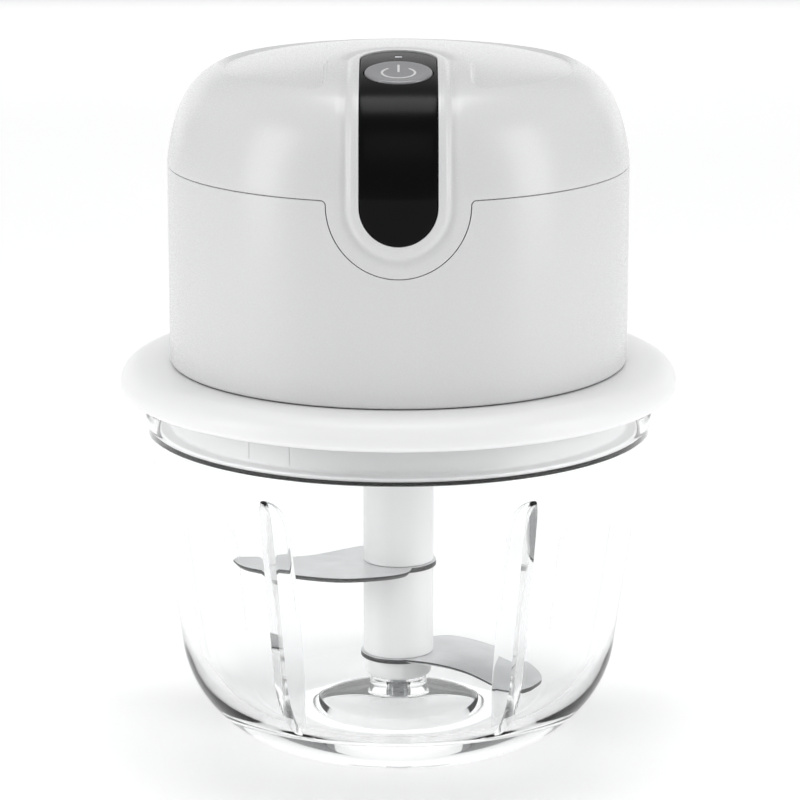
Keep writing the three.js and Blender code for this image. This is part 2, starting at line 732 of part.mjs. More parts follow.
function baseBody() {
  const cup = ring([
    [BUSH_BORE_R, BASE_BOTTOM],
    [BASE_R, BASE_BOTTOM],
    [BASE_R, BASE_STEP],
    [LIP.outer, BASE_STEP],
    [LIP.outer, BASE_TOP],
    [BASE_WALL_INNER, BASE_TOP],
    [BASE_WALL_INNER, BASE_FLOOR],
    [BUSH_BORE_R + 2.2, BASE_FLOOR],
    [BUSH_BORE_R + 2.2, BUSH_TOP],
    [BUSH_BORE_R, BUSH_TOP],
  ]);
  const pillars = postPlaces.map(([x, y]) =>
    disc(PILLAR.r, BASE_BOTTOM + 0.5, PILLAR.top, SMALL_FACETS).translate([x, y, 0]),
  );
  const holes = postPlaces.flatMap(([x, y]) => [
    disc(PILLAR.counterbore, BASE_BOTTOM - 1, PILLAR.shelf, SMALL_FACETS).translate([x, y, 0]),
    disc(POST.bore, BASE_BOTTOM, PILLAR.top + 1, SMALL_FACETS).translate([x, y, 0]),
  ]);
  const notches = KEY_TURNS.map((turn) =>
    sector(KEY_INNER_R - 0.5, BASE_R + 1, turn, KEY_SPAN + 1.4, BASE_BOTTOM - 1, KEY_TOP + SLIT),
  );
  const screwHoles = ringScrewPlaces.map(([x, y]) =>
    disc(RING_SCREW.holeR, BASE_BOTTOM + 0.6, BASE_FLOOR + 1, SCREW_FACETS).translate([x, y, 0]),
  );
  return cut(joined(cup, ...pillars), ...holes, ...notches, ...screwHoles);
}

const aroundDrive = (gap, bottom, top) =>
  tube(BUSH_BORE_R - 0.1, DRIVE.r + gap, bottom, top, MEDIUM_FACETS);

add("motor_base", baseBody(), greyPlastic());
add("shaft_seal", aroundDrive(0.1, SHAFT_SEAL.bottom, SHAFT_SEAL.top), darkRubber());
add("output_bush", aroundDrive(0.06, BUSH_BOTTOM, BUSH_TOP), copper());
postPlaces.forEach(([x, y], i) => {
  const mesh = add(`base_screw_${i + 1}`, screwBody(BASE_SCREW), steel());
  mesh.position.set(x, y, PILLAR.shelf);
});

// ---- Gearbox ----

// A toothed outline with one tooth on +X. Inner teeth point to the axis.
function toothedOutline(teeth, isInner) {
  const pitchR = (TOOTH.module * teeth) / 2;
  const sign = isInner ? -1 : 1;
  const tipR = pitchR + sign * TOOTH.addendum;
  const rootR = pitchR - sign * TOOTH.dedendum;
  const pitch = 360 / teeth;
  const slack = (TOOTH.backlash / pitchR) * (180 / Math.PI);
  const points = [];
  for (let i = 0; i < teeth; i++) {
    const middle = i * pitch;
    const halfTip = pitch * TOOTH_SHARE.tip - slack / 4;
    const halfRoot = pitch * TOOTH_SHARE.root - slack / 4;
    points.push(onCircle(rootR, middle - halfRoot));
    points.push(onCircle(tipR, middle - halfTip));
    points.push(onCircle(tipR, middle + halfTip));
    points.push(onCircle(rootR, middle + halfRoot));
  }
  return points.map(([x, y]) => new THREE.Vector2(x, y));
}

function spurGear(teeth, boreR) {
  const shape = new THREE.Shape(toothedOutline(teeth, false));
  shape.holes.push(new THREE.Path().absarc(0, 0, boreR, 0, 2 * Math.PI));
  return raised(shape, 0, GEAR_WIDTH, 5);
}

function ringGearBody() {
  const shape = new THREE.Shape().absarc(0, 0, RING.r, 0, 2 * Math.PI);
  shape.holes.push(new THREE.Path(toothedOutline(RING_TEETH, true)));
  for (const [x, y] of ringScrewPlaces) {
    shape.holes.push(new THREE.Path().absarc(x, y, RING_SCREW.holeR, 0, 2 * Math.PI));
  }
  return raised(shape, RING.bottom, RING.top, 12);
}

function gearboxCoverBody() {
  const shape = new THREE.Shape().absarc(0, 0, RING.r, 0, 2 * Math.PI);
  shape.holes.push(new THREE.Path().absarc(0, 0, GEARBOX_COVER.shaftHoleR, 0, 2 * Math.PI));
  for (const [x, y] of ringScrewPlaces) {
    shape.holes.push(new THREE.Path().absarc(x, y, RING_SCREW.holeR, 0, 2 * Math.PI));
  }
  const plate = raised(shape, GEARBOX_COVER.bottom, GEARBOX_COVER.top, 8);
  const seats = [-1, 1].flatMap((side) => [
    disc(CAN_SCREW.seatR, GEARBOX_COVER.bottom - 1, MOTOR_SCREW_SEAT, SMALL_FACETS)
      .translate([side * MOTOR_SCREW_X, 0, 0]),
    disc(CAN_SCREW.holeR, GEARBOX_COVER.bottom, GEARBOX_COVER.top + 1, SCREW_FACETS)
      .translate([side * MOTOR_SCREW_X, 0, 0]),
  ]);
  const ringSeats = ringScrewPlaces.map(([x, y]) =>
    disc(RING_SCREW.seatR, GEARBOX_COVER.seat, GEARBOX_COVER.top + 1, SMALL_FACETS)
      .translate([x, y, 0]),
  );
  return cut(plate, ...seats, ...ringSeats);
}

const planetTurns = Array.from({ length: PLANET_COUNT }, (_, i) => (360 / PLANET_COUNT) * i);

function carrierBody() {
  const plate = tube(CARRIER.r, DRIVE.r + 0.05, CARRIER.bottom, CARRIER.top, MEDIUM_FACETS);
  const pins = planetTurns.map((turn) => {
    const [x, y] = onCircle(PLANET_ORBIT, turn);
    const pin = disc(CARRIER.pinR, CARRIER.top - 0.3, CARRIER.pinTop, SMALL_FACETS);
    return pin.translate([x, y, 0]);
  });
  return joined(plate, ...pins);
}

add("ring_gear", ringGearBody(), gearPlastic());
add("gearbox_cover", gearboxCoverBody(), greyPlastic());
ringScrewPlaces.forEach(([x, y], i) => {
  const mesh = add(`gearbox_screw_${i + 1}`, screwBody(RING_SCREW), steel());
  mesh.position.set(x, y, GEARBOX_COVER.seat);
  mesh.rotation.x = Math.PI;
});
add("planet_carrier", carrierBody(), steel());
planetTurns.forEach((turn, i) => {
  const gear = spurGear(PLANET_TEETH, CARRIER.pinR + 0.1);
  const planet = add(`planet_gear_${i + 1}`, gear, gearPlastic());
  const halfTooth = 180 / PLANET_TEETH;
  planet.position.set(...onCircle(PLANET_ORBIT, turn), GEAR_Z);
  planet.rotation.z = radians(turn + halfTooth);
});
const driveShaft = disc(DRIVE.r, DRIVE.hexTop - 0.1, CARRIER.top, MEDIUM_FACETS);
const driveHex = disc(DRIVE.hexR, DRIVE.tip, DRIVE.hexTop, 6);
add("drive_coupling", joined(driveShaft, driveHex), steel());
const sunGear = add("sun_gear", spurGear(SUN_TEETH, ROTOR.shaftR + 0.05), copper());
sunGear.position.z = GEAR_Z + 0.2;

// ---- Motor ----

function motorCanBody() {
  const inner = MOTOR.r - MOTOR.wall;
  const can = ring(
    [
      [MOTOR.mouthR, MOTOR.bottom],
      [MOTOR.r, MOTOR.bottom],
      [MOTOR.r, MOTOR.top],
      [inner, MOTOR.top],
      [inner, MOTOR.bottom + MOTOR.floor],
      [MOTOR.mouthR, MOTOR.bottom + MOTOR.floor],
    ],
    MEDIUM_FACETS,
  );
  const tapped = [-1, 1].map((side) =>
    disc(CAN_SCREW.tapR, MOTOR.bottom - 1, MOTOR.bottom + 3, SCREW_FACETS)
      .translate([side * MOTOR_SCREW_X, 0, 0]),
  );
  return cut(can, ...tapped);
}

// The rotor: a shaft, a three-pole armature and a commutator.
function rotorBody() {
  const profile = [
    [0, ROTOR.bottom],
    [ROTOR.shaftR, ROTOR.bottom],
    [ROTOR.shaftR, COMMUTATOR.low],
    [COMMUTATOR.r, COMMUTATOR.low],
    [COMMUTATOR.r, COMMUTATOR.high],
    [ROTOR.shaftR, COMMUTATOR.high],
    [ROTOR.shaftR, ROTOR.top],
    [0, ROTOR.top],
  ];
  const poles = new THREE.Shape();
  for (const turn of POLES.turns) {
    const [from, to] = [radians(turn - POLES.halfSpan), radians(turn + POLES.halfSpan)];
    poles.absarc(0, 0, ROTOR.poleR, from, to, false);
    poles.lineTo(...onCircle(ROTOR.coreR, turn + 180 / POLES.turns.length));
  }
  return joined(turned(profile, SMALL_FACETS), raised(poles, ROTOR.low, ROTOR.high, 6));
}

add("motor_can", motorCanBody(), steel());
add("rotor", rotorBody(), copper());
const magnet = (turn) =>
  sector(MAGNET.inner, MAGNET.outer, turn, 2 * MAGNET.halfSpan, ROTOR.low, ROTOR.high);
add("magnet_left", magnet(180), ferrite());
add("magnet_right", magnet(0), ferrite());
const endCap = tube(MOTOR.r, ROTOR.shaftR + 0.1, MOTOR.top + 0.05, MOTOR.capTop, MEDIUM_FACETS);
add("motor_end_cap", endCap, ferrite());
for (const [side, label] of [[-1, "left"], [1, "right"]]) {
  const mesh = add(`motor_screw_${label}`, screwBody(CAN_SCREW), steel());
  mesh.position.set(side * MOTOR_SCREW_X, 0, MOTOR_SCREW_SEAT);
}

// ---- Battery and control ----

function trayBody() {
  const strip = block(-BIG, BIG, -TRAY.half, TRAY.half, TRAY.bottom, TRAY.top);
  return strip
    .intersect(disc(TRAY.r, TRAY.bottom - 1, TRAY.top + 1))
    .subtract(disc(TRAY.hole, TRAY.bottom - 1, TRAY.top + 1, MEDIUM_FACETS));
}

for (const [side, label] of [[-1, "left"], [1, "right"]]) {
  const cell = disc(CELL.r, 0, CELL.top - CELL.bottom, MEDIUM_FACETS);
  add(`battery_${label}`, cell, cellWrap()).position.set(side * CELL.x, 0, CELL.bottom);
}
add("battery_tray", trayBody(), greyPlastic());
const linkBottom = CELL.top + 0.1;
const linkTop = linkBottom + LINK.thick;
const linkBody = block(-LINK.reach, LINK.reach, -LINK.half, LINK.half, linkBottom, linkTop);
add("battery_link", linkBody, steel());

const boardHoles = [-1, 1].map((side) =>
  barAlongY(
    BACK_SCREW.holeR,
    side * BOARD_SCREW.x,
    BOARD_SCREW.z,
    BOARD.front - 1,
    BOARD.back + 1,
  ),
);
add(
  "control_board",
  cut(
    block(-BOARD.half, BOARD.half, BOARD.front, BOARD.back, BOARD.bottom, BOARD.top),
    ...boardHoles,
  ),
  boardGreen(),
);
for (const [side, label] of [[-1, "left"], [1, "right"]]) {
  const mesh = add(`control_board_screw_${label}`, screwBody(BACK_SCREW), steel());
  mesh.position.set(side * BOARD_SCREW.x, BOARD.front - 0.05, BOARD_SCREW.z);
  mesh.rotation.x = -Math.PI / 2;
}

function socketBody() {
  const [front, back] = [BOARD.back + 0.1, PORT.back];
  const shell = block(
    -PORT.halfX,
    PORT.halfX,
    front,
    back,
    PORT.z - PORT.halfZ,
    PORT.z + PORT.halfZ,
  );
  const mouth = block(
    -PORT.halfX + PORT.wall,
    PORT.halfX - PORT.wall,
    front + PORT.floor,
    back + 1,
    PORT.z - PORT.halfZ + PORT.wall,
    PORT.z + PORT.halfZ - PORT.wall,
  );
  const tab = block(
    -PORT_TAB.halfX,
    PORT_TAB.halfX,
    front + 1,
    back - 1,
    PORT.z - PORT_TAB.halfZ,
    PORT.z + PORT_TAB.halfZ,
  );
  return joined(shell.subtract(mouth), tab);
}

add("charging_socket", socketBody(), steel());

function flapBody() {
  const plate = block(
    -FLAP.halfX,
    FLAP.halfX,
    FLAP_POCKET.floor + 0.1,
    FLAP.back,
    FLAP.bottom,
    FLAP.top,
  );
  const tongue = block(
    -PORT_HOLE.halfX + 0.6,
    PORT_HOLE.halfX - 0.6,
    FLAP_POCKET.floor + 0.5 - FLAP.tongue,
    FLAP.back,
    PORT.z - PORT_HOLE.halfZ + 0.5,
    PORT.z + PORT_HOLE.halfZ - 1,
  );
  return joined(plate, tongue);
}

add("port_flap", flapBody(), whiteSatin());

// ---- Leads from the control board to the motor ----

function leadBody(side) {
  const places = LEAD.route.map(([x, y, z]) => new THREE.Vector3(side * x, y, z));
  const section = new THREE.Shape().absarc(0, 0, LEAD.r, 0, 2 * Math.PI);
  return new THREE.ExtrudeGeometry(section, {
    steps: LEAD.steps,
    extrudePath: new THREE.CatmullRomCurve3(places),
    bevelEnabled: false,
    curveSegments: 4,
  });
}

add("motor_lead_red", solid(leadBody(1)), wireColour(0xb02a24));
add("motor_lead_black", solid(leadBody(-1)), wireColour(0x1c1c1e));

export default group;
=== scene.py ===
import json
import math

import bmesh
import bpy
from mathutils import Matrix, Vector


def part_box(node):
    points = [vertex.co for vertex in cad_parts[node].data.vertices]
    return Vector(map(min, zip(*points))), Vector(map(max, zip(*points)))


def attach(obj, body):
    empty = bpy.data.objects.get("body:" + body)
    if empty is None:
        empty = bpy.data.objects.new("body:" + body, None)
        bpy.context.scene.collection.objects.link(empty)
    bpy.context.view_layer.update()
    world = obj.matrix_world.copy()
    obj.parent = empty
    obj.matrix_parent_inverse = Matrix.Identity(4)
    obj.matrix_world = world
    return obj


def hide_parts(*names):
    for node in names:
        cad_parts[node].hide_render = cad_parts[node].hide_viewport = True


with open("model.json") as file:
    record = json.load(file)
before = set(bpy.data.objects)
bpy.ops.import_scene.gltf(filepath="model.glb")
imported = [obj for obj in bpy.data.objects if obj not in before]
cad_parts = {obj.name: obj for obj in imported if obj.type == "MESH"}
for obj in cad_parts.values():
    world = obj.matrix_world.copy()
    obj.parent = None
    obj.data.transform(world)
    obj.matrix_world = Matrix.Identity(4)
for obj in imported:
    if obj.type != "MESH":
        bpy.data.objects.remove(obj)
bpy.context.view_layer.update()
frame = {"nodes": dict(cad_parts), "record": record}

# ---- Driving dimensions, in millimetres ----

MM = 0.001
TINY = 1e-6
COLUMNS = 256  # facets round a turned piece
FINE_COLUMNS = 512  # facets round the glossy shells


def limits(node):
    """The lowest and highest corner of a CAD node, in millimetres."""
    low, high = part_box(node)
    return low / MM, high / MM


# Bowl
BOWL_TOP = limits("bowl")[1].z
RIM_R, RIM_INNER_R = 41.1, 39.9
LEDGE_Z, LEDGE_INNER_R = 52.2, 37.8
WALL_TOP = (40.2, 51.4)
WALL_FOOT = (35.55, 16.3)
WALL_THICK = 2.4
FOOT_R, FOOT_INNER_R, FOOT_RECESS = 17, 14, 3.6
FLOOR_Z, FLOOR_R = 6.7, 24.7
BOSS_R, BOSS_TOP = 4.6, 9.9
PIN_HOLE_R, PIN_HOLE_Z = 1.7, 4.9
HANDLE = 0.56  # how far the handles of the big rounding reach towards its corner
FRONT = -90  # the front's direction, in degrees
TALL_RIB_TURN, LOW_RIB_TURN = 33.5, 121  # degrees either side of the front
TALL_RIB_TOP, LOW_RIB_TOP, RIB_BEND_Z = 48, 32, 18
TALL_RIB_HALVES, LOW_RIB_HALVES = (0.75, 1.25), (0.7, 1.2)  # half widths at edge and root

# Blade set
HUB_R, HUB_FOOT_R = 5.75, 5.4
HUB_LOW, HUB_HIGH = limits("blade_hub")
SOCKET_R, SOCKET_Z = 3.1, 39.5
HUB_BORE_R, HUB_BORE_TOP, BLADE_SNUG = 1.75, 22, 0.03
CORE_R, COLLAR_R = 3.8, 6.2
UPPER_Z, UPPER_THICK = limits("upper_blade")[0].z, 0.9
LOWER_Z, LOWER_THICK = 13.4, 0.8
DROOP, DROOP_FROM, DROOP_TO = 2.6, 8, 25.5
GRIND = 0.75  # how far the ground face runs in under a blade's cutting edge

# Cover
COVER_R = limits("cover")[1].x
COVER_BOTTOM, COVER_TOP = 58.5, limits("cover")[1].z
COVER_WALL_R, COVER_INNER_R, COVER_HOLE_R = 37.4, 36.1, 6.4
COVER_UNDER, COVER_FLOOR = 52.3, 53.4
FLANGE_R = 39.2
SEAL_INNER, SEAL_OUTER = 38.3, 39.75
SEAL_BOTTOM, SEAL_TOP = 52.22, 52.7
KEY_TURNS, KEY_SPAN, KEY_TOP, KEY_INNER_R = (-128, -8, 112), 15, 57.4, 34.9
MARK_TURNS, MARK_HALF, MARK_DEEP = (-128, -116.5), 0.12, 0.1  # faint upright lines on the skirt

# Motor unit shells
UNIT_R = limits("motor_housing")[1].x
UNIT_INNER_R = 34.8
UNIT_BOTTOM = limits("motor_housing")[0].z
SEAM_Z, SEAM_GAP = 95.6, 0.15
CROWN_TOP, CROWN_SAG, CROWN_DROP = 114.6, 4.7, 13.9
CROWN_POWERS = (11.9, 1.36)
CAP_WALL = 2.2
LIP_OUTER, LIP_INNER, LIP_BOTTOM = 34.5, 33.4, 92.6
TONGUE_HALF, TONGUE_FOOT = 11, 80
SPINE_HALF, PANEL_HALF, CREASE_HALF = 11.4, 5.97, 8.15
CREASE_DEEP, CREASE_SOFT, FRAME_RISE = 0.34, 0.75, 0.16
FRONT_CROWDING = 0.5  # 0 spaces the cap's columns evenly, 1 crowds them all to the front
LOOP_Z, LOOP_Y = 94.9, -13.3  # centres of the round lower and upper ends
LED_Y, LED_HALF_X, LED_HALF_Y = LOOP_Y + 1.8, 0.6, 0.5
RECESS_R, RECESS_DEEP, RECESS_CORNER, RECESS_SOFT = 28.3, 0.8, 2.5, 0.3

# Power button, in its own tilted frame
BUTTON_Y, BUTTON_Z, BUTTON_TILT = -20.96, 113.08, 9.6
BUTTON_R, BUTTON_FLANGE_R, BUTTON_STEM_R = 5.25, 6.3, 1.4
BUTTON_PROUD, BUTTON_HOLE = 0.2, (-8, 4)
SYMBOL_R, SYMBOL_STROKE, SYMBOL_GAP, SYMBOL_Y = 2.55, 0.18, 38, -0.45

# Motor base
BASE_R, BASE_BOTTOM, BASE_FLOOR, BASE_STEP, BASE_TOP = 35.8, 54, 55.8, 63.2, 66.5
BASE_WALL_INNER, BUSH_R, BUSH_OUTER, BUSH_TOP = 32.8, 4, 6.2, 58.4
POST_RING, POST_TURNS, POST_R, WELL_R, BORE_R = 29.5, (-38, -142, 50, 130), 3.4, 2.4, 1.25
NOTCH_R, NOTCH_SPAN, NOTCH_TOP = 34.4, KEY_SPAN + 1.4, KEY_TOP + 0.3
DRIVE_R, DRIVE_HEX_R, DRIVE_HEX_TOP = 2.5, 2.7, 53.6
DRIVE_LOW, DRIVE_HIGH = 41, 60.6

# Charging port at the back
PORT_Z, PORT_HALF_X, PORT_HALF_Z = 74.1, 4.5, 1.6
PORT_HOLE_X, PORT_HOLE_Z = 5.3, 2.3
POCKET_X, POCKET_LOW, POCKET_HIGH, POCKET_FLOOR = 6.9, 68.7, 79, 35.3
FLAP_X, FLAP_LOW, FLAP_HIGH, FLAP_CORNER = 6.6, 69, 78.7, 1.1
FLAP_HINGE_Y = 36.1
BLOCK_X, BLOCK_LOW, BLOCK_HIGH, BLOCK_Y = 11.5, 67, 82, 32.6

# Looks
CLEAR_IOR = 1.2  # lower than such a plastic's own, so that the moulding's edges stay pale
CAMERA_DOWN = 13.53  # degrees below the horizon

# ---- Mesh helpers ----


def arc(centre, radius, start, end, steps):
    """Points on an arc, with angles in degrees."""
    turns = [math.radians(start + (end - start) * i / steps) for i in range(steps + 1)]
    return [
        (centre[0] + radius * math.cos(a), centre[1] + radius * math.sin(a)) for a in turns
    ]


def bezier(start, corner, end, steps, handle=HANDLE):
    """Points from start to end on a curve drawn towards a corner."""
    one = [s + (c - s) * handle for s, c in zip(start, corner)]
    two = [e + (c - e) * handle for e, c in zip(end, corner)]

    def at(t, a, b, c, d):
        u = 1 - t
        return u**3 * a + 3 * u * u * t * b + 3 * u * t * t * c + t**3 * d

    rows = list(zip(start, one, two, end))
    return [tuple(at(i / steps, *row) for row in rows) for i in range(steps + 1)]


def rounded(corners, steps=5, closed=True):
    """An outline from (x, y) points, where a third number rounds that corner by its radius."""
    points = []
    count = len(corners)
    for i, corner in enumerate(corners):
        here = Vector(corner[:2])
        inside = closed or 0 < i < count - 1
        if len(corner) == 2 or not inside:
            points.append(tuple(here))
            continue
        back = Vector(corners[i - 1][:2]) - here
        ahead = Vector(corners[(i + 1) % count][:2]) - here
        half = back.angle(ahead) / 2
        reach = min(corner[2] / math.tan(half), 0.49 * back.length, 0.49 * ahead.length)
        radius = reach * math.tan(half)
        back.normalize()
        ahead.normalize()
        centre = here + (back + ahead).normalized() * (radius / math.sin(half))
        start = here + back * reach - centre
        sweep = start.angle_signed(here + ahead * reach - centre)
        for k in range(steps + 1):
            turn = -sweep * k / steps
            cos, sin = math.cos(turn), math.sin(turn)
            x = centre.x + start.x * cos - start.y * sin
            points.append((x, centre.y + start.x * sin + start.y * cos))
    return points


def spline(points, steps):
    """Points on a smooth curve through the given points."""

    def at(t, p, q, r, s):
        square, cube = 2 * p - 5 * q + 4 * r - s, 3 * q - p - 3 * r + s
        return 0.5 * (2 * q + (r - p) * t + square * t * t + cube * t**3)

    ends = [points[0], *points, points[-1]]
    made = []
    for knots in zip(ends, ends[1:], ends[2:], ends[3:]):
        rows = list(zip(*knots))
        made += [tuple(at(i / steps, *row) for row in rows) for i in range(steps)]
    return [*made, points[-1]]


def evenly(points, count):
    """The same line with its points at even distances."""
    lengths = [0]
    for a, b in zip(points, points[1:]):
        lengths.append(lengths[-1] + math.dist(a, b))
    made, k = [], 0
    for i in range(count):
        want = lengths[-1] * i / (count - 1)
        while k < len(points) - 2 and lengths[k + 1] < want:
            k += 1
        t = (want - lengths[k]) / max(lengths[k + 1] - lengths[k], TINY)
        made.append(tuple(p + (q - p) * min(t, 1) for p, q in zip(points[k], points[k + 1])))
    return made


def smoothstep(low, high, value):
    t = min(max((value - low) / (high - low), 0), 1)
    return t * t * (3 - 2 * t)


def mesh_of(verts, faces):
    """A mesh in metres from points in millimetres, with its faces turned out."""
    mesh = bpy.data.meshes.new("shape")
    mesh.from_pydata([[c * MM for c in v] for v in verts], [], faces)
    made = bmesh.new()
    made.from_mesh(mesh)
    bmesh.ops.remove_doubles(made, verts=made.verts, dist=1e-8)
    bmesh.ops.recalc_face_normals(made, faces=made.faces)
    made.to_mesh(mesh)
    made.free()
    return mesh


def object_of(mesh, name="tool"):
    made = bpy.data.objects.new(name, mesh)
    bpy.context.scene.collection.objects.link(made)
    return made


def turned(profile, columns=COLUMNS, closed=False, shift=None):
    """A surface of revolution about Z. shift moves the points of a row, given its number."""
    verts, rows, faces = [], [], []
    for number, (r, z) in enumerate(profile):
        first = len(verts)
        if r < TINY:
            point = (0, 0, z)
            verts.append(shift(point, number) if shift else point)
            rows.append([first] * columns)
            continue
        for i in range(columns):
            turn = 2 * math.pi * i / columns
            point = (r * math.cos(turn), r * math.sin(turn), z)
            verts.append(shift(point, number) if shift else point)
        rows.append(list(range(first, first + columns)))
    pairs = list(zip(rows, rows[1:]))
    if closed:
        pairs.append((rows[-1], rows[0]))
    for low, high in pairs:
        for i in range(columns):
            j = (i + 1) % columns
            face = list(dict.fromkeys([low[i], low[j], high[j], high[i]]))
            if len(face) > 2:
                faces.append(face)
    return object_of(mesh_of(verts, faces))


def slab(outline, start, end, plane="xy"):
    """An outline carried straight along the axis that its plane leaves out."""
    places = {
        "xy": lambda a, b, c: (a, b, c),
        "xz": lambda a, b, c: (a, c, b),
    }
    place = places[plane]
    verts = [place(a, b, start) for a, b in outline] + [place(a, b, end) for a, b in outline]
    count = len(outline)
    faces = [list(range(count)), list(range(count, 2 * count))]
    for i in range(count):
        j = (i + 1) % count
        faces.append([i, j, count + j, count + i])
    return object_of(mesh_of(verts, faces))


def box_outline(half_x, low, high, radius, steps=5):
    """A rounded rectangle, symmetrical about the vertical axis."""
    places = [(-half_x, low), (half_x, low), (half_x, high), (-half_x, high)]
    return rounded([(x, y, radius) for x, y in places], steps)


def sector(inner, outer, turn, span, low, high):
    """A piece of a ring round the axis, centred on a turn."""
    start, end = turn - span / 2, turn + span / 2
    outline = arc((0, 0), outer, start, end, 16) + arc((0, 0), inner, end, start, 16)
    return slab(outline, low, high)


def lofted(sections):
    """A solid through rings of points, closed at both ends."""
    verts = [point for section in sections for point in section]
    ring, last = len(sections[0]), len(verts) - len(sections[0])
    faces = []
    for a in range(0, last, ring):
        for k in range(ring):
            j = (k + 1) % ring
            faces.append([a + k, a + j, a + ring + j, a + ring + k])
    faces += [list(range(ring)), list(range(last, last + ring))]
    return object_of(mesh_of(verts, faces))


def drum(radius, low, high, edge=0.0, columns=64):
    """A round solid on the Z axis with rounded rims."""
    if edge:
        side = rounded([(0, low), (radius, low, edge), (radius, high, edge), (0, high)], 4, False)
    else:
        side = [(0, low), (radius, low), (radius, high), (0, high)]
    return turned(side, columns)


def bake_modifiers(piece):
    """Applies an object's modifiers to its mesh."""
    evaluated = piece.evaluated_get(bpy.context.evaluated_depsgraph_get())
    mesh = bpy.data.meshes.new_from_object(evaluated)
    piece.modifiers.clear()
    old, piece.data = piece.data, mesh
    bpy.data.meshes.remove(old)


def combine(piece, operation, *tools):
    """Joins tools to a piece, or cuts them from it, and uses the tools up."""
    for tool in tools:
        step = piece.modifiers.new("step", "BOOLEAN")
        step.object = tool
        step.operation = operation
        step.solver = "MANIFOLD"
    bake_modifiers(piece)
    for tool in tools:
        mesh = tool.data
        bpy.data.objects.remove(tool)
        bpy.data.meshes.remove(mesh)
    return piece


def join(piece, *tools):
    return combine(piece, "UNION", *tools)


def cut(piece, *tools):
    return combine(piece, "DIFFERENCE", *tools)


def moved(piece, x=0, y=0, z=0, turn=0, tilt=0):
    """Moves a tool's mesh: a turn about Z and a tilt about X, in degrees, then a shift."""
    a, b = math.radians(turn), math.radians(tilt)
    for vert in piece.data.vertices:
        px, py, pz = vert.co
        px, py = px * math.cos(a) - py * math.sin(a), px * math.sin(a) + py * math.cos(a)
        py, pz = py * math.cos(b) - pz * math.sin(b), py * math.sin(b) + pz * math.cos(b)
        vert.co = Vector((px, py, pz)) + Vector((x, y, z)) * MM
    return piece


def on_ring(radius, turn):
    return radius * math.cos(math.radians(turn)), radius * math.sin(math.radians(turn))


def bevelled(piece, width):
    """Rounds a piece's sharp edges."""
    step = piece.modifiers.new("edge", "BEVEL")
    step.width = width * MM
    step.segments = 2
    step.limit_method = "ANGLE"
    step.angle_limit = math.radians(35)
    bake_modifiers(piece)
    return piece


def settled(piece, name, body, slot, nodes=(), finish=None, sharp=28):
    """Names a finished piece, shades it, and places it in the frame."""
    piece.name = name
    piece.data.name = name
    piece.data.polygons.foreach_set("use_smooth", [True] * len(piece.data.polygons))
    piece.data.set_sharp_from_angle(angle=math.radians(sharp))
    piece.data.materials.clear()
    piece.data.materials.append(materials[finish or slot])
    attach(piece, body)
    if nodes:
        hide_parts(*nodes)
    return piece


# ---- Materials ----


def srgb(value):
    """A display grey from 0 to 1 as the shader's linear value."""
    return value / 12.92 if value <= 0.04045 else ((value + 0.055) / 1.055) ** 2.4


def colour(*values):
    red, green, blue = values if len(values) == 3 else values * 3
    return (srgb(red), srgb(green), srgb(blue), 1)


class Finish:
    """A material with a Principled shader and short ways to add procedural detail to it."""

    def __init__(self, name, base, roughness, **sockets):
        self.material = bpy.data.materials.new(name)
        self.material.use_nodes = True
        self.tree = self.material.node_tree
        self.shader = self.tree.nodes["Principled BSDF"]
        self.base = base
        self.shader.inputs["Base Color"].default_value = base
        self.shader.inputs["Roughness"].default_value = roughness
        for socket, value in sockets.items():
            self.shader.inputs[socket.replace("_", " ")].default_value = value
        self.coordinates = self.tree.nodes.new("ShaderNodeTexCoord")
        self.normal = None

    def node(self, kind, inputs=(), **settings):
        made = self.tree.nodes.new(kind)
        for key, value in settings.items():
            setattr(made, key, value)
        for key, value in dict(inputs).items():
            if isinstance(value, bpy.types.NodeSocket):
                self.tree.links.new(value, made.inputs[key])
            else:
                made.inputs[key].default_value = value
        return made

    def place(self, stretch=(1, 1, 1)):
        """Object coordinates in millimetres, stretched along the axes."""
        scale = [1 / MM * s for s in stretch]
        source = {"Vector": self.coordinates.outputs["Object"], "Scale": scale}
        return self.node("ShaderNodeMapping", source).outputs["Vector"]

    def noise(self, size, detail=3, stretch=(1, 1, 1), roughness=0.5):
        """Noise whose features are about size millimetres across."""
        inputs = {"Vector": self.place(stretch), "Scale": 1 / size, "Detail": detail}
        inputs["Roughness"] = roughness
        return self.node("ShaderNodeTexNoise", inputs).outputs["Fac"]

    def span(self, value, low, high, start=0.3, end=0.7):
        """A texture value spread over another span."""
        inputs = {"Value": value, "From Min": start, "From Max": end}
        inputs.update({"To Min": low, "To Max": high})
        return self.node("ShaderNodeMapRange", inputs).outputs["Result"]

    def tint(self, value, other, amount=1.0):
        """Moves the colour from what it is towards another where the value is high."""
        socket = self.shader.inputs["Base Color"]
        source = socket.links[0].from_socket if socket.links else self.base
        factors = {0: value, 1: amount}
        strength = self.node("ShaderNodeMath", factors, operation="MULTIPLY").outputs[0]
        sides = {0: strength, 6: source, 7: other}  # the colour mix's own sockets
        mix = self.node("ShaderNodeMix", sides, data_type="RGBA")
        self.tree.links.new(mix.outputs[2], socket)

    def rough(self, value):
        self.tree.links.new(value, self.shader.inputs["Roughness"])

    def bump(self, value, height):
        """Raises the surface by up to height millimetres."""
        inputs = {"Height": value, "Distance": height * MM, "Strength": 1.0}
        if self.normal:
            inputs["Normal"] = self.normal
        self.normal = self.node("ShaderNodeBump", inputs).outputs["Normal"]
        self.tree.links.new(self.normal, self.shader.inputs["Normal"])


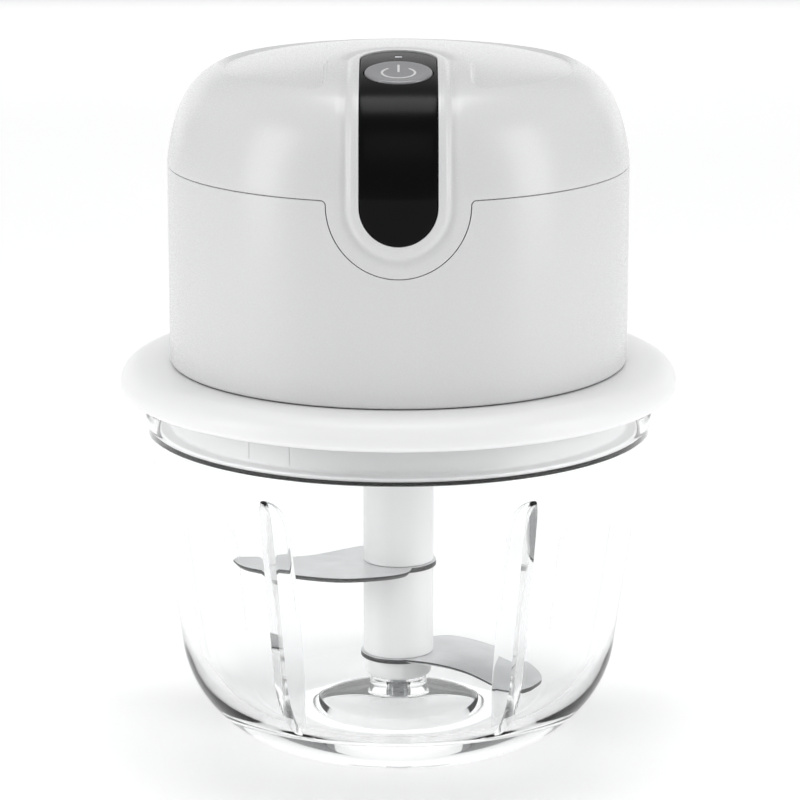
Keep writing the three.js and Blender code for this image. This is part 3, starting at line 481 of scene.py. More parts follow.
def moulded(name, base, roughness, grain=0, grain_height=0, dust=0.994, **sockets):
    """Moulded plastic: a slightly uneven gloss and colour, and a faint grain if asked for."""
    made = Finish(name, base, roughness, **sockets)
    speckle = made.noise(0.12, 1)
    made.rough(made.span(speckle, roughness * 0.95, roughness * 1.05))
    shade = tuple(c * dust for c in base[:3]) + (1,)
    made.tint(speckle, shade)
    if grain:
        made.bump(made.noise(grain, 2), grain_height)
    return made


def clear_plastic():
    """Clear plastic that lets lamps through, so that the blades inside are lit."""
    sockets = {"Transmission_Weight": 1.0, "IOR": CLEAR_IOR}
    made = Finish("clear_plastic", colour(0.988, 0.99, 0.99), 0.015, **sockets)
    made.rough(made.span(made.noise(6, 3), 0.004, 0.03))
    made.bump(made.noise(9, 1), 0.004)
    rays = made.node("ShaderNodeLightPath").outputs["Is Shadow Ray"]
    lamps_pass = made.node("ShaderNodeBsdfTransparent").outputs["BSDF"]
    glass = made.shader.outputs["BSDF"]
    mix = made.node("ShaderNodeMixShader", {0: rays, 1: glass, 2: lamps_pass})
    surface = made.tree.nodes["Material Output"].inputs["Surface"]
    made.tree.links.new(mix.outputs["Shader"], surface)
    return made


def cover_white():
    """The cover's white, with painted shade: greyer on the skirt that stands in the bowl under the
    collar.
    """
    made = moulded("cover_white", colour(0.972), 0.4)
    height = made.node("ShaderNodeSeparateXYZ", {0: made.place()}).outputs["Z"]
    under = made.span(height, 1, 0, COVER_BOTTOM - 0.8, COVER_BOTTOM + 0.1)
    above = made.span(height, 0, 1, COVER_FLOOR - 0.1, COVER_FLOOR + 0.4)
    # Painted shade: this height mask picks out the skirt under the collar, and the tint below makes
    # it greyer.
    skirt_shade = made.node("ShaderNodeMath", {0: under, 1: above}, operation="MULTIPLY").outputs[0]
    made.tint(skirt_shade, colour(0.92))
    return made


def black_gloss():
    made = Finish("black_gloss", colour(0.02), 0.25, Specular_IOR_Level=0.13)
    made.rough(made.span(made.noise(9, 2), 0.23, 0.28))
    made.tint(made.span(made.noise(3, 3), 0, 1, 0.4, 0.8), colour(0.035), 0.5)
    made.bump(made.noise(2.5, 1), 0.0003)
    return made


def button_grey():
    made = Finish("button_grey", colour(0.62, 0.62, 0.63), 0.36, Metallic=0.25)
    made.rough(made.span(made.noise(0.3, 3), 0.3, 0.45))
    made.tint(made.span(made.noise(0.16, 2), 0, 1), colour(0.56), 0.6)
    made.bump(made.noise(0.14, 2), 0.004)
    return made


def symbol_paint():
    made = Finish("symbol_paint", colour(0.88), 0.4)
    made.tint(made.span(made.noise(0.5, 3), 0, 1), colour(0.82), 0.8)
    made.rough(made.span(made.noise(0.2, 2), 0.3, 0.5))
    return made


def light_pipe():
    made = Finish("light_pipe", colour(0.97), 0.3)
    made.tint(made.span(made.noise(0.4, 3), 0, 1), colour(0.88, 0.9, 0.92), 0.7)
    made.bump(made.noise(0.2, 2), 0.003)
    return made


def blade_steel():
    made = Finish("blade_steel", colour(0.88, 0.885, 0.89), 0.3, Metallic=0.85)
    streaks = made.noise(0.5, 5, (0.12, 2.4, 1), 0.65)
    made.rough(made.span(streaks, 0.26, 0.44))
    made.tint(made.span(streaks, 0, 1), colour(0.95), 0.6)
    made.tint(made.span(made.noise(4, 3), 0, 1), colour(0.78), 0.35)
    made.bump(streaks, 0.003)
    return made


def shaded_blade_edge():
    """The blades' sides and ground cutting edge: a darker steel that is painted shade, with real
    fine grinding marks across it.
    """
    made = Finish("shaded_blade_edge", colour(0.36), 0.35, Metallic=0.9)
    marks = made.noise(0.2, 4)
    made.rough(made.span(marks, 0.25, 0.45))
    made.tint(made.span(marks, 0, 1), colour(0.28), 0.8)
    made.bump(marks, 0.004)
    return made


def plain_steel(name="steel", base=(0.78, 0.785, 0.79), low=0.2, high=0.4):
    made = Finish(name, colour(*base), 0.3, Metallic=1.0)
    lathe_marks = made.noise(0.4, 4, (0.3, 0.3, 4))
    made.rough(made.span(lathe_marks, low, high))
    made.tint(made.span(made.noise(2, 3), 0, 1), colour(*(c * 0.85 for c in base)), 0.6)
    made.bump(lathe_marks, 0.002)
    return made


def rubber(name, base):
    made = Finish(name, colour(base), 0.62)
    made.rough(made.span(made.noise(1.2, 4), 0.5, 0.75))
    made.tint(made.span(made.noise(0.6, 4), 0, 1), colour(base * 1.25), 0.5)
    made.bump(made.noise(0.25, 2), 0.006)
    return made


def circuit_board():
    made = Finish("circuit_board", colour(0.1, 0.36, 0.22), 0.35, Coat_Weight=0.4)
    inputs = {"Vector": made.place((0.9, 0.9, 0.9)), "Scale": 0.8, "Mortar Size": 0.05}
    traces = made.node("ShaderNodeTexBrick", inputs).outputs["Fac"]
    made.tint(traces, colour(0.2, 0.55, 0.32))
    cells = {"Vector": made.place(), "Scale": 0.6}
    pads = made.node("ShaderNodeTexVoronoi", cells).outputs["Distance"]
    made.tint(made.span(pads, 1, 0, 0.12, 0.18), colour(0.8, 0.74, 0.5))
    made.bump(traces, 0.02)
    return made


def cell_wrap():
    made = moulded("cell_wrap", colour(0.2, 0.42, 0.68), 0.3, 3.0, 0.02, 0.85)
    inputs = {"Vector": made.place((0, 0, 1)), "Scale": 0.02}
    bands = made.node("ShaderNodeTexWave", inputs, bands_direction="Z").outputs["Fac"]
    made.tint(made.span(bands, 0, 1, 0.92, 0.97), colour(0.92), 0.8)
    return made


def winding_copper():
    made = Finish("winding_copper", colour(0.72, 0.42, 0.25), 0.35, Metallic=1.0)
    inputs = {"Vector": made.place(), "Scale": 0.7}
    turns = made.node("ShaderNodeTexWave", inputs, bands_direction="Z").outputs["Fac"]
    made.tint(turns, colour(0.86, 0.55, 0.34), 0.7)
    made.rough(made.span(turns, 0.3, 0.5, 0, 1))
    made.bump(turns, 0.08)
    return made


finishes = {
    "clear_plastic": clear_plastic(),
    "white_plastic": moulded("white_gloss", colour(0.87), 0.27, Specular_IOR_Level=0.42),
    "hub_white": moulded("hub_white", colour(0.9), 0.35),
    "cover_plastic": cover_white(),
    "black_gloss": black_gloss(),
    "button_grey": button_grey(),
    "symbol_paint": symbol_paint(),
    "light_pipe": light_pipe(),
    "grey_plastic": moulded("grey_plastic", colour(0.8, 0.805, 0.81), 0.45, 0.3, 0.004, 0.93),
    "gear_plastic": moulded("gear_plastic", colour(0.92, 0.9, 0.84), 0.45, 0.5, 0.006, 0.97),
    "dark_moulding": moulded("dark_moulding", colour(0.2), 0.5, 0.4, 0.008, 0.8),
    "dark_rubber": rubber("dark_rubber", 0.06),
    "flap_silicone": moulded("flap_silicone", colour(0.84), 0.5, 0.5, 0.002, 0.95),
    "blade_steel": blade_steel(),
    "shaded_blade_edge": shaded_blade_edge(),
    "steel": plain_steel(),
    "bush_bronze": plain_steel("bush_bronze", (0.75, 0.55, 0.36), 0.3, 0.5),
    "winding_copper": winding_copper(),
    "circuit_board": circuit_board(),
    "cell_wrap": cell_wrap(),
    "lead_red": moulded("lead_red", colour(0.72, 0.12, 0.1), 0.42, 0.6, 0.01, 0.85),
    "lead_black": moulded("lead_black", colour(0.1), 0.42, 0.6, 0.01, 0.85),
}
materials = {slot: made.material for slot, made in finishes.items()}

# ---- Bowl ----


def wall_radius(z):
    lean = (WALL_TOP[0] - WALL_FOOT[0]) / (WALL_TOP[1] - WALL_FOOT[1])
    return WALL_FOOT[0] + lean * (z - WALL_FOOT[1])


def bowl_profile():
    inner_foot = (WALL_FOOT[0] - WALL_THICK, WALL_FOOT[1] + 1.2)
    under = rounded(
        [(0, FOOT_RECESS), (FOOT_INNER_R - 0.8, FOOT_RECESS, 0.5), (FOOT_INNER_R, 0, 0.4)], 4, False
    )[:-1]
    under += arc((FOOT_INNER_R + 0.5, 0.5), 0.5, 195, 270, 4)
    outside = bezier((FOOT_R, 0), (wall_radius(0), 0), WALL_FOOT, 36)
    rim = rounded([
        WALL_TOP, (RIM_R, LEDGE_Z + 1.6, 2), (RIM_R, BOWL_TOP, 0.4), (RIM_INNER_R, BOWL_TOP, 0.4),
        (RIM_INNER_R, LEDGE_Z, 0.25), (LEDGE_INNER_R, LEDGE_Z, 0.4), inner_foot,
    ], 5, False)[1:-1]
    corner = (wall_radius(0) - 2, FLOOR_Z + 0.5)
    inside = bezier(inner_foot, corner, (FLOOR_R, FLOOR_Z + 0.5), 30)
    floor = rounded([
        (FLOOR_R, FLOOR_Z + 0.5), (FLOOR_R - 0.7, FLOOR_Z, 0.5), (BOSS_R + 0.2, FLOOR_Z, 0.5),
        (BOSS_R, BOSS_TOP, 0.25), (PIN_HOLE_R, BOSS_TOP), (PIN_HOLE_R, PIN_HOLE_Z), (0, PIN_HOLE_Z),
    ], 4, False)[1:]
    return under + outside + rim + inside + floor


def rib(turn, edge, root, half_edge, half_root):
    """A rib with a round inner edge, whose root stays inside the bowl's wall."""
    steps, cap_steps = 48, 8
    sections = []
    for (er, ez), (rr, rz) in zip(evenly(edge, steps), evenly(root, steps)):
        out = Vector((rr - er, rz - ez))
        width = min(half_edge, out.length * 0.6 + 0.05)
        out.normalize()
        section = [(rr, -half_root, rz)]
        for k in range(cap_steps + 1):
            a = math.radians(-90 + 180 * k / cap_steps)
            along, side = width * (1 - math.cos(a)), width * math.sin(a)
            section.append((er + out.x * along, side, ez + out.y * along))
        sections.append([*section, (rr, half_root, rz)])
    return moved(lofted(sections), turn=turn)


def build_bowl():
    bowl = turned(bowl_profile())

    def in_wall(z):
        return wall_radius(z) - WALL_THICK / 2

    tall, low, bend = TALL_RIB_TOP, LOW_RIB_TOP, RIB_BEND_Z
    tall_edge = bezier((in_wall(tall) - 0.6, tall), (31.2, 47.4), (30.8, 40), 14)
    tall_edge += spline([(30.8, 40), (28.7, 29), (27.4, 18), (27.1, 12), (27.1, 6.2)], 8)[1:]
    tall_root = [(in_wall(tall), tall), (in_wall(bend), bend), (33, 12.5), (31, 8.6), (29, 5.4)]
    low_edge = bezier((in_wall(low) - 0.6, low), (32.4, 31), (32, 27), 10)
    low_edge += spline([(32, 27), (31, 18), (30.6, 14), (30.2, 8.6)], 8)[1:]
    low_root = [(in_wall(low), low), (in_wall(bend), bend), (33, 12.5), (31.2, 7.6)]
    ribs = []
    for side in (-1, 1):
        turn = FRONT + side * TALL_RIB_TURN
        ribs.append(rib(turn, tall_edge, tall_root, *TALL_RIB_HALVES))
        ribs.append(rib(FRONT + side * LOW_RIB_TURN, low_edge, low_root, *LOW_RIB_HALVES))
    join(bowl, *ribs)
    settled(bowl, "clear_bowl", "bowl_body", "clear_plastic", ["bowl"], sharp=40)


# ---- Blade set ----


def build_hub():
    low, high, snug = HUB_LOW.z, HUB_HIGH.z, BLADE_SNUG
    profile = rounded([
        (0, HUB_BORE_TOP), (HUB_BORE_R, HUB_BORE_TOP), (HUB_BORE_R, low, 0.2),
        (HUB_FOOT_R, low, 0.6), (HUB_FOOT_R, LOWER_Z - snug, 0.1), (CORE_R, LOWER_Z - snug),
        (CORE_R, LOWER_Z + LOWER_THICK + snug), (HUB_R, LOWER_Z + LOWER_THICK + snug, 0.15),
        (HUB_R, UPPER_Z - snug, 0.1), (CORE_R, UPPER_Z - snug),
        (CORE_R, UPPER_Z + UPPER_THICK + snug), (HUB_R, UPPER_Z + UPPER_THICK + snug, 0.15),
        (HUB_R, high, 0.5), (0, high),
    ], 4, False)
    hub = turned(profile, 128)
    socket = drum(SOCKET_R, SOCKET_Z, high + 1, columns=6)
    slope = [(SOCKET_R - 0.3, high - 0.7), (SOCKET_R + 0.5, high + 0.1)]
    lead_in = turned([(0, high - 0.7), *slope, (0, high + 0.1)], 64)
    cut(hub, socket, lead_in)
    settled(hub, "hub_post", "blade_set", "white_plastic", ["blade_hub"], "hub_white")


def wing(front, rear, low, thick, bend=None):
    """A sheet wing between its cutting edge and its back edge, ground along the cutting edge."""
    along, across = 72, 14
    sections = []
    for (fx, fy), (rx, ry) in zip(evenly(front, along), evenly(rear, along)):
        width = math.hypot(rx - fx, ry - fy)
        share = min(GRIND / width, 0.4)
        top = [k / across for k in range(across + 1)]
        bottom = [share + (1 - share) * k / across for k in range(across, -1, -1)]
        section = [(t, thick) for t in top] + [(t, 0) for t in bottom]
        section.append((share * 0.04, thick * 0.6))
        ring = []
        for t, height in section:
            x, y = fx + (rx - fx) * t, fy + (ry - fy) * t
            drop = bend(math.hypot(x, y)) if bend else 0
            ring.append((x, y, low + height - drop))
        sections.append(ring)
    return lofted(sections)


def build_blade(name, node, front, rear, low, thick, bend=None):
    blade = wing(front, rear, low, thick, bend)
    top = low + thick
    inner = CORE_R + 0.6
    corners = [(inner, low), (COLLAR_R, low, 0.12), (COLLAR_R, top, 0.12), (inner, top)]
    collar = rounded(corners, 3, False)[1:-1]
    join(blade, turned([(0, low), *collar, (0, top)], 128))
    cut(blade, drum(CORE_R + 0.02, low - 3, low + thick + 3, columns=96))
    settled(blade, name, "blade_set", "blade_steel", [node], sharp=22)
    # Painted shade: faces that look sideways or slant down get the darker edge steel. These are the
    # sheet's edges and the ground face.
    blade.data.materials.append(materials["shaded_blade_edge"])
    for face in blade.data.polygons:
        if -0.8 < face.normal.z < 0.3:
            face.material_index = 1


def edge_line(start_turn, *points):
    """A wing's outline from the blade's collar outwards."""
    return spline([on_ring(COLLAR_R - 0.4, start_turn), *points], 14)


def build_blades():
    front = edge_line(
        -67, (1.2, -8.9), (-3, -11.3), (-9.5, -12.3), (-16.7, -10.1), (-24.6, -5.6), (-27.1, -1)
    )
    rear = edge_line(
        129, (-5.4, 7.9), (-9.2, 5.6), (-12.7, 2.9), (-16, 1.3), (-20, 0.9), (-26.4, 0.8)
    )
    build_blade("upper_cutter", "upper_blade", front, rear, UPPER_Z, UPPER_THICK)

    def droop(reach):
        return DROOP * smoothstep(DROOP_FROM, DROOP_TO, reach)

    front = edge_line(270, (5, -7.6), (11.6, -10.3), (16.6, -14.4), (19.4, -16))
    rear = edge_line(57, (8.6, 9.2), (13.5, 8), (19, 3.6), (22.6, -3), (23.3, -9.4), (21.4, -14))
    build_blade("lower_cutter", "lower_blade", front, rear, LOWER_Z, LOWER_THICK, droop)


# ---- Cover and seal ----


def build_cover():
    rim_gap = RIM_INNER_R - 0.3
    groove_r, groove_top = RIM_R + 0.4, BOWL_TOP + 0.3
    profile = rounded([
        (COVER_HOLE_R, COVER_UNDER, 0.2), (SEAL_INNER - 0.1, COVER_UNDER),
        (SEAL_INNER - 0.1, SEAL_TOP + 0.05), (FLANGE_R, SEAL_TOP + 0.05, 0.12),
        (FLANGE_R, COVER_FLOOR, 0.2), (COVER_WALL_R, COVER_FLOOR, 0.4),
        (COVER_WALL_R, COVER_BOTTOM + 0.7, 0.4), (rim_gap, COVER_BOTTOM + 0.7, 0.3),
        (rim_gap, groove_top, 0.2), (groove_r, groove_top, 0.2), (groove_r, COVER_BOTTOM, 0.3),
    ], 4)
    profile += bezier((43, COVER_BOTTOM), (COVER_R, COVER_BOTTOM), (COVER_R, 59.6), 12)
    profile += bezier((COVER_R, 60.2), (COVER_R, COVER_TOP), (41.4, COVER_TOP), 14)
    profile += rounded([
        (41.4, COVER_TOP), (COVER_INNER_R, COVER_TOP, 0.5), (COVER_INNER_R, COVER_FLOOR, 0.8),
        (COVER_HOLE_R, COVER_FLOOR, 0.2), (COVER_HOLE_R, COVER_UNDER),
    ], 5, False)[1:-1]
    cover = turned(profile, closed=True)
    radii = (KEY_INNER_R, COVER_INNER_R + 0.5)
    keys = [sector(*radii, turn, KEY_SPAN, COVER_FLOOR - 0.4, KEY_TOP) for turn in KEY_TURNS]
    join(cover, *[bevelled(key, 0.15) for key in keys])
    half, deep, far = MARK_HALF, COVER_WALL_R - MARK_DEEP, COVER_WALL_R + 1
    groove = [(deep, -half), (far, -half), (far, half), (deep, half)]
    low, high = COVER_FLOOR + 0.6, COVER_BOTTOM - 0.2
    cut(cover, *[moved(slab(groove, low, high), turn=turn) for turn in MARK_TURNS])
    settled(cover, "cover_ring", "cover_body", "cover_plastic", ["cover"])


def build_seal():
    corners = [(SEAL_INNER, SEAL_BOTTOM, 0.1), (SEAL_OUTER, SEAL_BOTTOM, 0.15)]
    corners += [(SEAL_OUTER, SEAL_TOP, 0.15), (SEAL_INNER, SEAL_TOP, 0.1)]
    seal = turned(rounded(corners, 4), closed=True)
    settled(seal, "seal_ring", "cover_body", "dark_rubber", ["cover_seal"])


# ---- Motor unit's skin ----


def crown_height(r):
    x = min(abs(r) / UNIT_R, 1)
    n, m = CROWN_POWERS
    return CROWN_TOP - CROWN_SAG * x * x - CROWN_DROP * (1 - (1 - x**n) ** (1 / m))


CROWN_FOOT = crown_height(UNIT_R)


def skin_normal(r, z):
    """The outward normal of the skin's meridian, as (across, up)."""
    if z <= CROWN_FOOT or r >= UNIT_R - TINY:
        return 1.0, 0.0
    step = 1e-4
    slope = (crown_height(r + step / 2) - crown_height(r - step / 2)) / step
    size = math.hypot(slope, 1)
    return -slope / size, 1 / size


def loop_distance(x, y, z):
    """Distance from the middle line of the loop that holds the panel."""
    if y > LOOP_Y:
        return math.hypot(x, y - LOOP_Y)
    if z < LOOP_Z:
        return math.hypot(x, z - LOOP_Z)
    return abs(x)


def skin_relief(x, y, z):
    """How far the skin lies below its plain shape: the crown's recess and the panel's frame."""
    loop = loop_distance(x, y, z)
    corner, soft = RECESS_CORNER, RECESS_SOFT
    inside_rim = min(RECESS_R - math.hypot(x, y), corner)
    beside_spine = min(loop - SPINE_HALF, corner)
    gap = math.hypot(max(corner - inside_rim, 0), max(corner - beside_spine, 0))
    relief = RECESS_DEEP * smoothstep(-soft, soft, corner - gap) if z > LOOP_Z else 0.0
    if y < 0:
        relief += CREASE_DEEP * math.exp(-(((loop - CREASE_HALF) / CREASE_SOFT) ** 2))
        relief -= FRAME_RISE * smoothstep(CREASE_HALF, CREASE_HALF - 0.9, loop)
    return relief


def sunk(point):
    """A point of the plain skin moved in by the relief there."""
    x, y, z = point
    r = math.hypot(x, y)
    across, up = skin_normal(r, z)
    depth = skin_relief(x, y, z)
    share = (r - depth * across) / max(r, TINY)
    return (x * share, y * share, z - depth * up)


def towards_front(point):
    """Turns a point about Z so that the columns lie closer together at the front."""
    x, y, z = point
    r = math.hypot(x, y)
    turn = math.atan2(-x, y)
    turn += FRONT_CROWDING * math.sin(turn)
    return (-r * math.sin(turn), r * math.cos(turn), z)


def loop_rows(half):
    """Rows across the loop from its lower end to its upper end: (half width, r, z, y)."""
    end_steps, wall_steps, crown_steps = 20, 4, 64
    rows = []
    for i in range(end_steps):
        a = math.pi / 2 * (1 - i / end_steps)
        rows.append((half * math.cos(a), UNIT_R, LOOP_Z - half * math.sin(a), None))
    for i in range(wall_steps):
        rows.append((half, UNIT_R, LOOP_Z + (CROWN_FOOT - LOOP_Z) * i / wall_steps, None))
    far = 1 - math.hypot(half, LOOP_Y) / UNIT_R
    for i in range(crown_steps):
        r = UNIT_R * (1 - far * (i / crown_steps) ** 3)
        rows.append((half, r, crown_height(r), None))
    for i in range(end_steps + 1):
        a = math.pi / 2 * i / end_steps
        rows.append((half * math.cos(a), None, None, LOOP_Y + half * math.sin(a)))
    return [(w if w > TINY * 10 else 0.0, r, z, y) for w, r, z, y in rows]


def row_point(row, share, depth):
    """A point on a row, at a share of its half width, below the skin by depth."""
    width, r, z, y = row
    x = width * share
    if y is not None:
        r = math.hypot(x, y)
        z = crown_height(r)
    across, up = skin_normal(r, z)
    r -= depth * across
    z -= depth * up
    return (x, -math.sqrt(max(r * r - x * x, 0)), z)


def loop_face(verts, faces, rows, depth):
    """Fills a loop with a grid and returns the indices of its border."""
    across = 16
    grid = []
    for row in rows:
        shares = [0] if row[0] == 0 else [2 * k / across - 1 for k in range(across + 1)]
        grid.append(list(range(len(verts), len(verts) + len(shares))))
        verts += [row_point(row, share, depth) for share in shares]
    for below, above in zip(grid, grid[1:]):
        if len(below) == 1:
            faces += [[below[0], above[k + 1], above[k]] for k in range(across)]
        elif len(above) == 1:
            faces += [[below[k], below[k + 1], above[0]] for k in range(across)]
        else:
            for k in range(across):
                faces.append([below[k], below[k + 1], above[k + 1], above[k]])
    return [g[0] for g in grid] + [g[-1] for g in reversed(grid[1:-1])]


def loop_border(verts, rows, depth):
    """Adds only the border of a loop and returns its indices."""
    places = [row_point(row, -1, depth) for row in rows]
    places += [row_point(row, 1, depth) for row in reversed(rows[1:-1])]
    first = len(verts)
    verts += places
    return list(range(first, first + len(places)))


def bridge(faces, one, two):
    count = len(one)
    for i in range(count):
        j = (i + 1) % count
        faces.append([one[i], one[j], two[j], two[i]])


def loop_solid(layers):
    """A closed solid that follows the skin, from (half width, depth) layers, top to bottom."""
    verts, faces = [], []
    last = len(layers) - 1
    previous = None
    for i, (half, depth) in enumerate(layers):
        rows = loop_rows(half)
        if i in (0, last):
            border = loop_face(verts, faces, rows, depth)
        else:
            border = loop_border(verts, rows, depth)
        if previous:
            bridge(faces, previous, border)
        previous = border
    return object_of(mesh_of(verts, faces))


def loop_bead(half, width, height):
    """A bead with a round top that follows the loop."""
    verts, faces, borders = [], [], []
    steps = 10
    for i in range(steps):
        a = 2 * math.pi * i / steps
        depth = -height * math.sin(a) if math.sin(a) > 0 else -3 * height * math.sin(a)
        borders.append(loop_border(verts, loop_rows(half + width * math.cos(a)), depth))
    for one, two in zip(borders, borders[1:] + borders[:1]):
        bridge(faces, one, two)
    return object_of(mesh_of(verts, faces))


def tongue_line(half, seam):
    """The seam across the front, left to right: level, down round the tongue, and level."""
    fillet = seam - LOOP_Z
    left = arc((-half - fillet, LOOP_Z), fillet, 90, 0, 8)
    bottom = arc((0, LOOP_Z), half, 180, 360, 72)
    right = [(-x, z) for x, z in reversed(left)]
    return left + bottom[1:-1] + right


def at_button(piece):
    return moved(piece, 0, BUTTON_Y, BUTTON_Z, tilt=BUTTON_TILT)


def led_cutter(gap):
    """Cuts the LED's opening, wider than the LED by a gap on each side."""
    half = LED_HALF_X + gap
    outline = box_outline(half, LED_Y - half + 0.1, LED_Y + half - 0.1, 0.25, 4)
    return slab(outline, 105, 120)


# ---- Motor unit's shells ----


def crown_rows(offset, steps):
    """The skin's meridian, moved in, from the wall to the axis."""
    rows = []
    for i in range(steps, -1, -1):
        x = 1 - (1 - i / steps) ** 1.6
        rows.append((x * (UNIT_R - offset), crown_height(x * UNIT_R) - offset))
    rows[-1] = (0.0, rows[-1][1])
    return rows


def build_cap():
    wall_rows = 50
    rise = (CROWN_FOOT - TONGUE_FOOT) / wall_rows
    wall = [(UNIT_R, TONGUE_FOOT + rise * i) for i in range(wall_rows)]
    outside = wall + crown_rows(0, 112)
    inside = [(r, z) for r, z in reversed(crown_rows(CAP_WALL, 14)) if z > 97]
    inside += [(UNIT_INNER_R - 0.1, 96), (UNIT_INNER_R - 0.1, TONGUE_FOOT)]
    first_outside = len(inside)

    def shift(point, row):
        point = towards_front(point)
        return sunk(point) if row >= first_outside else point

    cap = turned(inside + outside, FINE_COLUMNS, shift=shift)
    seam = SEAM_Z + SEAM_GAP
    far = UNIT_R + 5
    line = tongue_line(TONGUE_HALF, seam)
    foot = TONGUE_FOOT - 2
    front = [(-far, seam), *line, (far, seam), (far, foot), (-far, foot)]
    back = [(-far, foot), (far, foot), (far, seam), (-far, seam)]
    cut(cap, slab(front, -far, 0, "xz"), slab(back, -0.001, far, "xz"))
    section = [(LIP_INNER, LIP_BOTTOM), (LIP_OUTER, LIP_BOTTOM), (LIP_OUTER, 98), (LIP_INNER, 98)]
    lip = turned(section, FINE_COLUMNS, closed=True)
    bead = loop_bead(PANEL_HALF + 0.45, 0.36, 0.17)
    join(cap, lip, bead)
    pocket = loop_solid([(PANEL_HALF + 0.1, -1), (PANEL_HALF + 0.1, 1.5)])
    hole = at_button(drum(BUTTON_R + 0.35, *BUTTON_HOLE))
    cut(cap, pocket, hole, led_cutter(0.06))
    settled(cap, "crown_shell", "motor_unit", "white_plastic", ["housing_cap"])


def build_housing():
    corners = [(UNIT_INNER_R, UNIT_BOTTOM, 0.3), (UNIT_R, UNIT_BOTTOM, 0.7)]
    corners += [(UNIT_R, SEAM_Z, 0.12), (UNIT_INNER_R, SEAM_Z, 0.3)]
    housing = turned(rounded(corners, 6), FINE_COLUMNS, closed=True)
    line = tongue_line(TONGUE_HALF + SEAM_GAP, SEAM_Z)
    notch = slab([*line, (line[-1][0], SEAM_Z + 3), (line[0][0], SEAM_Z + 3)], -45, 0, "xz")
    cut(housing, notch)
    block = slab(box_outline(BLOCK_X, BLOCK_LOW, BLOCK_HIGH, 1), BLOCK_Y, UNIT_R, "xz")
    combine(block, "INTERSECT", drum(UNIT_R - 0.4, 60, 90, columns=COLUMNS))
    join(housing, block)
    opening = box_outline(PORT_HOLE_X, PORT_Z - PORT_HOLE_Z, PORT_Z + PORT_HOLE_Z, 1)
    hole = slab(opening, 30, 40, "xz")
    pocket = slab(box_outline(POCKET_X, POCKET_LOW, POCKET_HIGH, 1.2), POCKET_FLOOR, 40, "xz")
    cut(housing, hole, pocket)
    settled(housing, "unit_shell", "motor_unit", "white_plastic", ["motor_housing"])


def build_panel():
    edge = [(0.3, 0.0), (0.12, 0.03), (0.03, 0.12), (0, 0.3), (0, 1.1)]
    panel = loop_solid([(PANEL_HALF - inset, depth) for inset, depth in edge])
    hole = at_button(drum(BUTTON_R + 0.2, *BUTTON_HOLE, columns=128))
    cut(panel, hole, led_cutter(0.04))
    settled(panel, "panel_strip", "motor_unit", "black_gloss", ["front_panel"])


def build_led():
    top = crown_height(LED_Y)
    outline = box_outline(LED_HALF_X, LED_Y - LED_HALF_Y, LED_Y + LED_HALF_Y, 0.2, 4)
    led = bevelled(slab(outline, top - 3.4, top - 0.02), 0.1)
    settled(led, "led_lens", "motor_unit", "light_pipe", ["led_window"])


def build_button():
    proud = BUTTON_PROUD  # in the button's own frame, z = 0 is the crown's skin
    profile = rounded([
        (0, -6), (BUTTON_STEM_R, -6, 0.2), (BUTTON_STEM_R, -3.4), (BUTTON_FLANGE_R, -3.4, 0.1),
        (BUTTON_FLANGE_R, -2.6, 0.1), (BUTTON_R, -2.6), (BUTTON_R, proud, 0.35),
        (BUTTON_R - 0.9, proud - 0.02, 0.3), (BUTTON_R - 2.2, proud - 0.12, 2), (0, proud - 0.15),
    ], 5, False)
    button = at_button(turned(profile, 128))
    settled(button, "button_cap", "button_body", "button_grey", ["power_button"])


def build_symbol():
    """The generic power mark: an open ring with an upright bar."""
    start, end = 90 + SYMBOL_GAP, 450 - SYMBOL_GAP
    ring = arc((0, SYMBOL_Y), SYMBOL_R + SYMBOL_STROKE, start, end, 64)
    ring += arc((0, SYMBOL_Y), SYMBOL_R - SYMBOL_STROKE, end, start, 64)
    bar = box_outline(SYMBOL_STROKE, -0.2, 3.45, 0.2)
    low, high = BUTTON_PROUD - 0.4, BUTTON_PROUD - 0.06
    mark = at_button(join(slab(ring, low, high), slab(bar, low, high)))
    settled(mark, "power_symbol", "button_body", "button_grey", finish="symbol_paint")


def build_base():
    profile = rounded([
        (BUSH_R, BASE_BOTTOM, 0.3), (BASE_R, BASE_BOTTOM, 0.6), (BASE_R, BASE_STEP, 0.3),
        (LIP_OUTER, BASE_STEP, 0.2), (LIP_OUTER, BASE_TOP, 0.3), (BASE_WALL_INNER, BASE_TOP, 0.3),
        (BASE_WALL_INNER, BASE_FLOOR, 0.6), (BUSH_OUTER, BASE_FLOOR, 0.4),
        (BUSH_OUTER, BUSH_TOP, 0.2), (BUSH_R, BUSH_TOP),
    ], 4)
    base = turned(profile, closed=True)
    places = [on_ring(POST_RING, turn) for turn in POST_TURNS]
    pillars = [moved(drum(POST_R, 54.5, 66.9, 0.3), x, y) for x, y in places]
    join(base, *pillars)
    wells = [moved(drum(WELL_R, 50, 62, 0.2), x, y) for x, y in places]
    bores = [moved(drum(BORE_R, 54, 68), x, y) for x, y in places]
    size = (NOTCH_SPAN, BASE_BOTTOM - 1, NOTCH_TOP)
    notches = [sector(NOTCH_R, BASE_R + 1, turn, *size) for turn in KEY_TURNS]
    cut(base, *wells, *bores, *notches)
    settled(base, "base_tray", "motor_unit", "grey_plastic", ["motor_base"])


def build_drive():
    shaft = drum(DRIVE_R, DRIVE_HEX_TOP - 0.1, DRIVE_HIGH, 0.15)
    corners = [(0, DRIVE_LOW), (DRIVE_HEX_R, DRIVE_LOW, 0.6)]
    corners += [(DRIVE_HEX_R, DRIVE_HEX_TOP, 0.2), (0, DRIVE_HEX_TOP)]
    driver = bevelled(turned(rounded(corners, 3, False), 6), 0.15)
    join(driver, shaft)
    settled(driver, "hex_driver", "output", "steel", ["drive_coupling"])


# ---- Charging port ----


